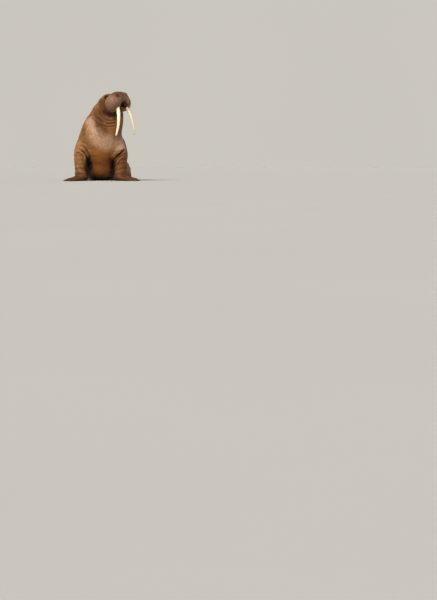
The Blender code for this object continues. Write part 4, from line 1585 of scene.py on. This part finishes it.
@dataclass
class Eye:
    """One eye: the ball with its bulging cornea, and the two lids that leave an almond between them."""

    walrus: Walrus
    side: Side
    look: Place = (0.42, 0.88, 0.2)
    corner: float = math.radians(47)
    open_up: float = math.radians(25)
    open_down: float = math.radians(19)
    lid_gap: float = 0.0012
    lid_wall: float = 0.003
    lid_swing: float = math.radians(78)
    lid_rise: float = math.radians(80)
    lid_sink: float = 0.0022
    lid_roll: float = 0.0008
    cornea: float = 0.04
    rim_spare: float = math.radians(0.3)
    centre: Vector = field(init=False)
    gaze: Vector = field(init=False)
    lift: Vector = field(init=False)
    across: Vector = field(init=False)

    def __post_init__(self) -> None:
        """Aim the eye."""
        self.centre = self.walrus.from_head(self.walrus.anatomy.eye, self.side)
        turn = self.walrus.head.to_3x3()
        self.gaze = turn @ Vector(self.side.mirror(self.look)).normalized()
        lift = turn @ UP
        self.lift = (lift - self.gaze * lift.dot(self.gaze)).normalized()
        self.across = self.lift.cross(self.gaze)

    def edge(self, swing: Array, opening: Array | float) -> Array:
        """How far a lid's rim lies from the eye's middle line, at an angle across from the gaze."""
        return opening * np.clip(1 - (swing / self.corner) ** 2, 0, 1) ** 0.8 + self.rim_spare

    def axes(self) -> Matrix:
        """The eye's place and axes: its columns are across, up and out."""
        turn = Matrix((self.across, self.lift, self.gaze)).transposed().to_4x4()
        return Matrix.Translation(self.centre) @ turn

    def ball(self, finish: EyeFinish) -> Piece:
        """The eyeball, with a cornea that stands out.

        Args:
            finish: Its colours.

        Returns:
            The dressed piece.
        """
        radius = self.walrus.anatomy.eye_radius
        shape = bmesh.new()
        bmesh.ops.create_uvsphere(shape, u_segments=48, v_segments=32, radius=radius)
        for vert in shape.verts:
            bulge = smooth_step(np.array([vert.co.z / radius]), 0.72, 0.95)[0]
            vert.co *= 1 + self.cornea * bulge
        bmesh.ops.transform(shape, matrix=self.axes(), verts=shape.verts)
        obj = from_shape("eyeball_" + self.side.word, shape)
        pole = self.centre + self.gaze * radius
        return dress(obj, finish.material(self.side, pole), "eye", "eye_" + self.side.word)

    def lid(self, upper: bool, finish: Material) -> Piece:
        """One eyelid: a thick curved shell with a rolled rim that meets the other at the corners.

        Args:
            upper: Whether it is the upper one.
            finish: The hide.

        Returns:
            The dressed piece.
        """
        sign = 1.0 if upper else -1.0
        opening = self.open_up if upper else self.open_down
        shape = bmesh.new()
        bmesh.ops.create_grid(shape, x_segments=44, y_segments=14, size=1.0)
        for vert in shape.verts:
            swing = vert.co.x * self.lid_swing
            share = (vert.co.y + 1) / 2
            edge = float(self.edge(np.array(swing), opening))
            rise = (edge + (self.lid_rise - edge) * share) * sign
            sink = self.lid_sink * max(share**2, (swing / self.lid_swing) ** 4)
            rolled = self.lid_roll * math.exp(-share * 9)
            radius = self.walrus.anatomy.eye_radius + self.lid_gap + rolled - sink
            flat = math.cos(rise)
            vert.co = Vector((math.sin(swing) * flat, math.sin(rise), math.cos(swing) * flat)) * radius
        bmesh.ops.recalc_face_normals(shape, faces=shape.faces)
        if sum(face.normal.dot(face.calc_center_median()) for face in shape.faces) < 0:
            bmesh.ops.reverse_faces(shape, faces=shape.faces)
        bmesh.ops.solidify(shape, geom=shape.faces[:], thickness=-self.lid_wall)
        bmesh.ops.recalc_face_normals(shape, faces=shape.faces)
        bmesh.ops.transform(shape, matrix=self.axes(), verts=shape.verts)
        obj = from_shape(("upper" if upper else "lower") + "_lid_" + self.side.word, shape)
        soften = obj.modifiers.new("soften", "SUBSURF")
        soften.levels = soften.render_levels = 1
        apply_modifiers(obj)
        obj.data.shade_smooth()
        clay = Clay(obj)
        clay.push(noise(clay.points, 0.006, 5, 2) * 0.0003)
        clay.lay_down()
        # The lids carry painted shade all over and no other marks
        for mark in Mark:
            clay.note(mark.value, np.full(len(clay.points), 0.9 if mark is Mark.DARK else 0.0))
        return dress(obj, finish, "hide")


@dataclass
class Tongue:
    """The tongue that lies in the open mouth, with a furrow along its middle."""

    walrus: Walrus
    place: Place = (0.276, 0.006, -0.166)
    radii: Place = (0.054, 0.034, 0.018)
    furrow: float = 0.005

    def build(self, finish: TongueFinish) -> Piece:
        """Make the tongue.

        Args:
            finish: Its flesh.

        Returns:
            The dressed piece.
        """
        shape = bmesh.new()
        bmesh.ops.create_uvsphere(shape, u_segments=48, v_segments=32, radius=1.0)
        for vert in shape.verts:
            along, aside, high = (c * r for c, r in zip(vert.co, self.radii))
            high -= self.furrow * math.exp(-((aside / 0.006) ** 2)) * max(0.0, vert.co.z)
            place = (self.place[0] + along, self.place[1] + aside, self.place[2] + high)
            vert.co = self.walrus.head @ Vector(place)
        obj = from_shape("tongue", shape)
        clay = Clay(obj)
        clay.push(noise(clay.points, 0.012, 8, 2) * 0.001)
        clay.lay_down()
        return dress(obj, finish.material(), "pad_skin")


@dataclass
class Spikes:
    """Many tapered bristles as one mesh, bent along their way."""

    roots: Array
    ways: Array
    sag: Array
    lengths: Array
    radii: Array
    sides: int
    rings: int
    flat: float = 1.0

    def mesh(self, name: str) -> bpy.types.Mesh:
        """Build the mesh of all the bristles.

        Args:
            name: The mesh's name.

        Returns:
            The mesh, with the share of the length kept as along.
        """
        count = len(self.roots)
        across = np.cross(self.ways, np.array((0.31, 0.17, 0.93)))
        across /= np.linalg.norm(across, axis=1, keepdims=True)
        deep = np.cross(self.ways, across) * self.flat
        layers = []
        for ring in range(self.rings):
            share = ring / self.rings
            middle = self.roots + self.lengths[:, None] * (self.ways * share + self.sag * share**2)
            for side in range(self.sides):
                turn = math.tau * side / self.sides
                reach = (across * math.cos(turn) + deep * math.sin(turn)) * self.radii[:, None]
                layers.append(middle + reach * (1 - 0.75 * share))
        layers.append(self.roots + self.lengths[:, None] * (self.ways + self.sag))
        points = np.stack(layers, axis=1).reshape(-1, 3)
        each = self.rings * self.sides + 1
        quads = []
        for ring in range(self.rings - 1):
            for side in range(self.sides):
                a = ring * self.sides + side
                b = ring * self.sides + (side + 1) % self.sides
                quads.append((a, b, b + self.sides, a + self.sides))
        tip = each - 1
        low = (self.rings - 1) * self.sides
        tips = [(low + s, low + (s + 1) % self.sides, tip) for s in range(self.sides)]
        tips.append(tuple(reversed(range(self.sides))))
        base = np.arange(count)[:, None] * each
        pieces = [(base + np.array(face)) for face in quads + tips]
        sizes = np.tile([len(face) for face in quads + tips], count)
        corners = np.concatenate(pieces, axis=1).ravel()
        mesh = mesh_from_arrays(name, points, corners, sizes)
        shares = np.append(np.repeat(np.arange(self.rings) / self.rings, self.sides), 1.0)
        along = mesh.attributes.new("along", "FLOAT", "POINT")
        along.data.foreach_set("value", np.tile(shares, count).astype(np.float32))
        return mesh


def mesh_from_arrays(
    name: str, points: Array, corners: Array, sizes: Array
) -> bpy.types.Mesh:
    """A mesh from arrays.

    Args:
        name: Its name.
        points: The place of each point.
        corners: The point at each corner, face after face.
        sizes: How many corners each face has.

    Returns:
        The mesh, shaded smooth.
    """
    mesh = bpy.data.meshes.new(name)
    mesh.vertices.add(len(points))
    mesh.vertices.foreach_set("co", points.astype(np.float32).ravel())
    mesh.loops.add(len(corners))
    mesh.loops.foreach_set("vertex_index", corners.astype(np.int32))
    mesh.polygons.add(len(sizes))
    starts = np.concatenate(([0], np.cumsum(sizes)[:-1]))
    mesh.polygons.foreach_set("loop_start", starts.astype(np.int32))
    mesh.update(calc_edges=True)
    mesh.validate()
    mesh.shade_smooth()
    return mesh


@dataclass
class Whiskers:
    """Stiff bristles in rows on both pads, short by the nose and longest below."""

    walrus: Walrus
    skin: Piece
    rows: int = 15
    a_row: int = 17
    seed: int = 23
    short: float = 0.01
    long: float = 0.028
    thin: float = 0.0005
    thick: float = 0.0005
    lowest: float = -66
    climb: float = 104
    inmost: float = -52
    round_out: float = 142
    jitter: float = 0.14
    rooted: float = 0.003
    sag: float = 0.28

    def build(self, finish: HornFinish) -> Piece:
        """Make the whiskers.

        Args:
            finish: Their horn.

        Returns:
            The dressed piece.
        """
        dice = np.random.default_rng(self.seed)
        turn = self.walrus.head.to_3x3()
        down = (turn @ Vector((0.1, 0.0, -1.0)) + Vector((0, 0, -0.6))).normalized()
        roots, ways, lengths, radii = [], [], [], []
        for side in Side:
            for row in range(self.rows):
                drop = 1 - row / (self.rows - 1)
                lift = math.radians(self.lowest + self.climb * (1 - drop))
                for k in range(self.a_row):
                    step = k + 0.5 * (row % 2) + dice.uniform(-self.jitter, self.jitter)
                    swing = math.radians(self.inmost + self.round_out * step / self.a_row)
                    size = dice.uniform(0.8, 1.15)
                    scatter = Vector(dice.uniform(-self.jitter, self.jitter, 3))
                    root, normal = self.find_root(swing, lift, side)
                    length = (self.short + self.long * drop**1.6) * size
                    way = (normal * 0.7 + down * (0.7 + 0.5 * drop) + scatter).normalized()
                    if self.is_clear(root, root + (way + down * 0.2) * length):
                        roots.append(root)
                        ways.append(way)
                        lengths.append(length)
                        radii.append(self.thin + self.thick * drop)
        roots, ways = stack(roots), stack(ways)
        sag = np.tile(np.array(down) * self.sag, (len(roots), 1))
        spikes = Spikes(roots - ways * self.rooted, ways, sag, np.array(lengths), np.array(radii), 5, 5)
        obj = link("whiskers", spikes.mesh("whiskers"))
        return dress(obj, finish.material(), "pad_skin")

    def find_root(self, swing: float, lift: float, side: Side) -> tuple[Vector, Vector]:
        """The place on the pad in a direction from its middle, and the way the skin faces there.

        Args:
            swing: How far out from straight ahead.
            lift: How far up.
            side: Which pad.

        Returns:
            The place and the normal.
        """
        a = self.walrus.anatomy
        aim = (math.cos(swing) * math.cos(lift), math.sin(swing) * math.cos(lift), math.sin(lift))
        spot = tuple(c + part * radius for c, part, radius in zip(a.pad, aim, a.pad_radii))
        _, root, normal, _ = self.skin.closest_point_on_mesh(self.walrus.from_head(spot, side))
        return root, normal

    def is_clear(self, root: Vector, tip: Vector) -> bool:
        """Whether a bristle stands on the front of a pad, away from the tusks and the mouth.

        Args:
            root: Where it starts.
            tip: Where it ends.

        Returns:
            True where it may stand.
        """
        a = self.walrus.anatomy
        both = stack([root, (root + tip) / 2, tip])
        local = self.walrus.in_head(both)
        if local[0, 0] < 0.245:
            return False
        maw = span((local - np.array(a.mouth)) / np.array(a.mouth_radii))
        if maw.min() < 1.2:
            return False
        lines = [stack(self.walrus.tusk_line(side, 12)) for side in Side]
        return min(trace(both, line).far.min() for line in lines) > a.tusk_radius + 0.006


@dataclass
class Claws:
    """The small dark nails that lie on the fingers and toes, back from the web's edge."""

    walrus: Walrus
    skin: Piece
    length: float = 0.018
    radius: float = 0.0042
    tip: float = 0.0042 * 0.14
    back: float = 0.048
    above: float = 0.085

    def build(self, side: Side, finish: Material) -> list[Piece]:
        """Make the nails of one side's hand and foot.

        Args:
            side: Which side.
            finish: Their horn.

        Returns:
            The dressed pieces.
        """
        made = []
        for word, root, rays in self.walrus.rays(side):
            shape = bmesh.new()
            for way, length in rays:
                above = root + way * (length - self.back) + UP * self.above
                hit, place, normal, _ = self.skin.ray_cast(above, -UP)
                if hit and normal.z > 0.2:
                    self.add_nail(shape, place, way, normal)
            made.append(dress(from_shape(f"claws_{word}_{side.word}", shape), finish, "hide"))
        return made

    def add_nail(self, shape: bmesh.types.BMesh, place: Vector, ray: Vector, normal: Vector) -> None:
        """One nail, a flattened curved cone made at the origin and laid along the finger.

        Args:
            shape: The mesh that it joins.
            place: Its root on the skin.
            ray: The finger's way.
            normal: The way the skin faces.
        """
        normal = (normal + 1.5 * UP).normalized()
        way = (ray - normal * ray.dot(normal)).normalized()
        across = normal.cross(way)
        made = bmesh.ops.create_cone(
            shape, cap_ends=True, segments=14, radius1=self.radius, radius2=self.tip, depth=self.length
        )
        edges = {e for v in made["verts"] for e in v.link_edges}
        edges = [e for e in edges if abs(e.verts[0].co.z - e.verts[1].co.z) > 1e-4]
        bmesh.ops.subdivide_edges(shape, edges=edges, cuts=5)
        for vert in [v for v in shape.verts if v.co.length < 2 * self.length]:
            share = vert.co.z / self.length + 0.5
            side, high = vert.co.x, vert.co.y * 0.62 + 0.001 - 0.0026 * share**2
            vert.co = place + way * (share - 0.25) * self.length + across * side + normal * high


@dataclass
class Flat:
    """The skin's shape laid flat: a coarse copy's tree, points and faces, and each corner's place."""

    tree: BVHTree
    points: Array
    faces: Array
    places: Array


@dataclass
class Coat:
    """Short hair that lies back over the skin in small tufts."""

    walrus: Walrus
    skin: Piece
    seed: int = 37
    length: float = 0.011
    tufts: int = 49000
    reaches: tuple[tuple[str, float, float], ...] = (
        ("coat_fore", -9.0, 0.06),
        ("coat_middle", 0.06, 0.72),
        ("coat_hind", 0.72, 9.0),
    )
    stray: float = 0.12
    stand: Pair = (0.06, 0.15)
    sizes: Pair = (0.6, 1.15)
    slimness: float = 0.085
    rooted: float = 0.001
    curl: float = -0.05
    floor_gap: float = 0.0004
    eye_clear: float = 0.036
    patch_radius: float = 0.0016
    coarse_faces: int = 9000

    def unwrap(self) -> Flat:
        """Lay a coarse copy of the skin flat."""
        coarse = link("coarse", self.skin.data.copy())
        reduce = coarse.modifiers.new("coarse", "DECIMATE")
        reduce.ratio = self.coarse_faces / len(self.skin.data.polygons)
        apply_modifiers(coarse)
        bpy.ops.object.select_all(action="DESELECT")
        coarse.select_set(True)
        bpy.context.view_layer.objects.active = coarse
        bpy.ops.object.mode_set(mode="EDIT")
        bpy.ops.mesh.select_all(action="SELECT")
        bpy.ops.mesh.quads_convert_to_tris()
        bpy.ops.uv.smart_project(angle_limit=math.radians(66), island_margin=0.004)
        bpy.ops.object.mode_set(mode="OBJECT")
        mesh = coarse.data
        points = gather(mesh.vertices, "co", 3).astype(float)
        faces = gather(mesh.polygons, "vertices", 3, np.int32)
        places = gather(mesh.uv_layers[0].data, "uv", 2).reshape(-1, 3, 2)
        tree = BVHTree.FromPolygons(points.tolist(), faces.tolist())
        bpy.data.objects.remove(coarse)
        return Flat(tree, points, faces, places)

    def scatter(self, dice: np.random.Generator, low: float, high: float) -> tuple[Array, ...]:
        """Choose the roots.

        Args:
            dice: What draws them.
            low: How far back along the body they start.
            high: How far back they end.

        Returns:
            The roots, the normals there, and the skin's point nearest to each.
        """
        clay = Clay(self.skin)
        self.skin.data.calc_loop_triangles()
        faces = gather(self.skin.data.loop_triangles, "vertices", 3, np.int32)
        corners = clay.points[faces]
        first, second = corners[:, 1] - corners[:, 0], corners[:, 2] - corners[:, 0]
        area = span(np.cross(first, second))
        middle = corners.mean(axis=1)
        body = self.walrus.in_body(middle)
        mine = (body[:, 1] >= low) & (body[:, 1] < high)
        bare = (body[:, 2] < 0.012) | (self.walrus.in_head(middle)[:, 0] > 0.3)
        for side in Side:
            eye = np.array(self.walrus.from_head(self.walrus.anatomy.eye, side))
            bare |= span(middle - eye) < self.eye_clear
        chance = area * mine * ~bare
        chosen = dice.choice(len(faces), self.tufts, p=chance / chance.sum())
        mix = dice.dirichlet((1, 1, 1), self.tufts)
        roots = np.sum(corners[chosen] * mix[:, :, None], axis=1)
        normals = np.sum(clay.normals()[faces[chosen]] * mix[:, :, None], axis=1)
        return roots, normals / np.linalg.norm(normals, axis=1, keepdims=True), faces[chosen, 0]

    def lie(self, roots: Array) -> Array:
        """The way the hair lies: back along the head and spine, and down the arms.

        Args:
            roots: Places on the skin.

        Returns:
            A direction for each.
        """
        spine = smooth_rows(self.walrus.anatomy.spine, 2) + np.array(self.walrus.shift)
        way = trace(roots, spine).way
        local = self.walrus.in_head(roots)
        head = smooth_step(local[:, 0], 0.02, 0.14)[:, None]
        back = -np.array(self.walrus.head.col[0].xyz)
        way = way * (1 - head) + back * head
        body = self.walrus.in_body(roots)
        arm = smooth_step(np.abs(body[:, 0]), 0.17, 0.24) * fall(body[:, 1], 0.02, 0.1)
        arm *= fall(body[:, 2], 0.35, 0.55)
        low = fall(body[:, 2], 0.05, 0.12)
        down = np.column_stack((np.sign(body[:, 0]) * low, -0.5 * low, -1 + 0.9 * low))
        return way * (1 - arm[:, None]) + down * arm[:, None]

    def build(self, finish: Material) -> list[Piece]:
        """Make the coat's pieces.

        Args:
            finish: The short hair.

        Returns:
            The dressed pieces.
        """
        dice = np.random.default_rng(self.seed)
        flat = self.unwrap()
        made = []
        for name, low, high in self.reaches:
            roots, normals, nearest = self.scatter(dice, low, high)
            way = self.lie(roots)
            way -= normals * np.sum(way * normals, axis=1, keepdims=True)
            way /= np.linalg.norm(way, axis=1, keepdims=True).clip(1e-6)
            way += dice.normal(0, self.stray, way.shape)
            way -= normals * np.sum(way * normals, axis=1, keepdims=True)
            way += normals * dice.uniform(*self.stand, (self.tufts, 1))
            way /= np.linalg.norm(way, axis=1, keepdims=True)
            lengths = self.length * dice.uniform(*self.sizes, self.tufts) * self.shortness(roots)
            roots_in = roots - normals * self.rooted
            spikes = Spikes(roots_in, way, normals * self.curl, lengths, lengths * self.slimness, 3, 1)
            obj = link(name, spikes.mesh(name))
            self.carry(obj, nearest)
            self.patch(obj, roots, flat)
            made.append(dress(obj, finish, "hide"))
        return made

    def shortness(self, roots: Array) -> Array:
        """How long the hair is against the back's, which is 1: shorter on the face and the feet.

        Args:
            roots: Places on the skin.

        Returns:
            A share for each.
        """
        local = self.walrus.in_head(roots)
        body = self.walrus.in_body(roots)
        face = smooth_step(local[:, 0], 0.02, 0.18)
        foot = fall(body[:, 2], 0.04, 0.16)
        return 1 - 0.6 * np.maximum(face, foot)

    def carry(self, obj: Piece, nearest: Array) -> None:
        """Give each tuft the skin's tones, painted sheen and painted shade at its root, and keep it off the
        floor.

        Args:
            obj: The coat's piece.
            nearest: The skin's point nearest to each tuft's root.
        """
        each = len(obj.data.vertices) // len(nearest)
        clay = Clay(obj)
        clay.points[:, 2] = np.maximum(clay.points[:, 2], self.floor_gap)
        clay.lay_down()
        for mark in Mark:
            values = gather(self.skin.data.attributes[mark.value].data, "value", 1)[nearest, 0]
            clay.note(mark.value, np.repeat(values, each))

    def patch(self, obj: Piece, roots: Array, flat: Flat) -> None:
        """Lay each tuft on a small patch of the flat skin, at its root.

        Args:
            obj: The coat's piece.
            roots: Each tuft's root.
            flat: The skin's shape laid flat.
        """
        found = [flat.tree.find_nearest(Vector(root)) for root in roots]
        hit = stack([f[0] for f in found])
        face = np.array([f[2] for f in found])
        a, b, c = (flat.points[flat.faces[face, k]] for k in range(3))
        whole = np.cross(b - a, c - a)
        size = np.sum(whole * whole, axis=1).clip(1e-18)
        share_b = np.sum(np.cross(hit - a, c - a) * whole, axis=1) / size
        share_c = np.sum(np.cross(b - a, hit - a) * whole, axis=1) / size
        shares = np.column_stack((1 - share_b - share_c, share_b, share_c)).clip(0, 1)
        middle = np.sum(flat.places[face] * shares[:, :, None], axis=1)
        turns = np.arange(3) * math.tau / 3
        corner = np.column_stack((np.cos(turns), np.sin(turns))) * self.patch_radius
        uv = (middle[:, None, :] + np.vstack((corner, [[0, 0]]))[None]).reshape(-1, 2)
        index = gather(obj.data.loops, "vertex_index", 1, np.int32).ravel()
        layer = obj.data.uv_layers.new(name="OFBake")
        layer.data.foreach_set("uv", uv[index].astype(np.float32).ravel())


@dataclass(frozen=True)
class Lamp:
    """A wide soft light from far off, and where it comes from. Its width is in degrees."""

    name: str
    source: Place
    power: float
    width: float
    colour: Colour

    def build(self) -> None:
        """Hang the lamp."""
        light = bpy.data.lights.new(self.name, "SUN")
        light.energy = self.power
        light.angle = math.radians(self.width)
        light.color = self.colour
        obj = bpy.data.objects.new(self.name, light)
        obj.location = Vector(self.source).normalized() * 8
        obj.rotation_euler = (-Vector(self.source)).to_track_quat("-Z", "Y").to_euler()
        bpy.context.scene.collection.objects.link(obj)


@dataclass(frozen=True)
class Studio:
    """A plain pale floor and backdrop of one tone, soft light, and the photograph's camera."""

    walrus: Walrus
    camera_place: Place = (0.0, -17.2, 0.25)
    camera_turn: float = math.radians(6.128)
    camera_drop: float = math.radians(7.089)
    lens: float = 65.28
    backdrop: Colour = (0.585, 0.56, 0.505)
    floor_tone: Colour = (0.419, 0.412, 0.39)
    room: Colour = (1.0, 0.98, 0.95)
    room_strength: float = 0.3
    room_radius: float = 80.0
    key: Lamp = Lamp("key", (-0.5, -0.8, 0.86), 4.6, 28.0, (1.0, 0.97, 0.92))
    fill: Lamp = Lamp("fill", (0.8, 0.3, 0.5), 0.7, 60.0, (1.0, 0.95, 0.88))

    def build(self) -> None:
        """Set up the floor, the backdrop, the lights and the camera."""
        self.floor()
        self.dome()
        self.world()
        self.key.build()
        self.fill.build()
        self.camera()

    def floor(self) -> None:
        """The floor, which isn't part of the animal."""
        shape = bmesh.new()
        bmesh.ops.create_grid(shape, x_segments=1, y_segments=1, size=self.room_radius)
        obj = from_shape("floor", shape)
        sheet = NodeSheet("pale floor")
        speck = sheet.between(sheet.noise(0.9, 4), 0.3, 0.7, (0.0, 0.35))
        paler = tuple(c * 1.04 for c in self.floor_tone)
        tone = sheet.mix(speck, self.floor_tone, paler)
        obj.data.materials.append(sheet.settle(Base_Color=tone, Roughness=1.0, Specular_IOR_Level=0.0))

    def dome(self) -> None:
        """The backdrop all round, which only the camera sees."""
        shape = bmesh.new()
        bmesh.ops.create_uvsphere(shape, u_segments=48, v_segments=24, radius=self.room_radius)
        obj = from_shape("backdrop", shape)
        sheet = NodeSheet("pale backdrop")
        haze = sheet.between(sheet.noise(30.0, 2), 0.3, 0.7, (0.0, 1.0))
        paler = tuple(c * 1.02 for c in self.backdrop)
        glow = sheet.mix(haze, self.backdrop, paler)
        black = (0.0, 0.0, 0.0, 1.0)
        finish = sheet.settle(
            Emission_Color=glow, Base_Color=black, Emission_Strength=1.0, Specular_IOR_Level=0.0
        )
        obj.data.materials.append(finish)
        obj.visible_diffuse = obj.visible_glossy = obj.visible_shadow = False

    def world(self) -> None:
        """The even light all round."""
        world = bpy.data.worlds.new("studio")
        world.use_nodes = True
        light = world.node_tree.nodes["Background"]
        light.inputs["Color"].default_value = (*self.room, 1.0)
        light.inputs["Strength"].default_value = self.room_strength
        bpy.context.scene.world = world
        bpy.context.scene.view_settings.view_transform = "Standard"

    def camera(self) -> None:
        """The photograph's camera, low and far in front."""
        data = bpy.data.cameras.new("camera")
        data.lens = self.lens
        data.sensor_width = 36.0
        data.clip_end = 300.0
        obj = bpy.data.objects.new("camera", data)
        obj.location = Vector(self.camera_place) + self.walrus.shift
        obj.rotation_euler = (math.radians(90) - self.camera_drop, 0.0, -self.camera_turn)
        bpy.context.scene.collection.objects.link(obj)
        bpy.context.scene.camera = obj


def main() -> None:
    """Build the walrus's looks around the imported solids."""
    logging.basicConfig(level=logging.INFO, format="%(relativeCreated)6d ms %(message)s")
    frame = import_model()
    walrus = Walrus(Anatomy())
    Studio(walrus).build()
    hide = HideFinish(walrus)
    skin = Skin(walrus, frame["nodes"]).build(hide)
    hide_material = skin.data.materials[0]
    claw_horn = HornFinish("claw horn", (0.045, 0.022, 0.013), (0.13, 0.078, 0.048)).material()
    for side in Side:
        Tusk(walrus, side).build(IvoryFinish())
        eye = Eye(walrus, side)
        eye.ball(EyeFinish())
        eye.lid(True, hide_material)
        eye.lid(False, hide_material)
        Claws(walrus, skin).build(side, claw_horn)
    Tongue(walrus).build(TongueFinish())
    bristle = HornFinish("whisker horn", (0.06, 0.034, 0.02), (0.12, 0.074, 0.046), 0.6)
    Whiskers(walrus, skin).build(bristle)
    Coat(walrus, skin).build(hide.coat())


if __name__ == "__main__":
    main()
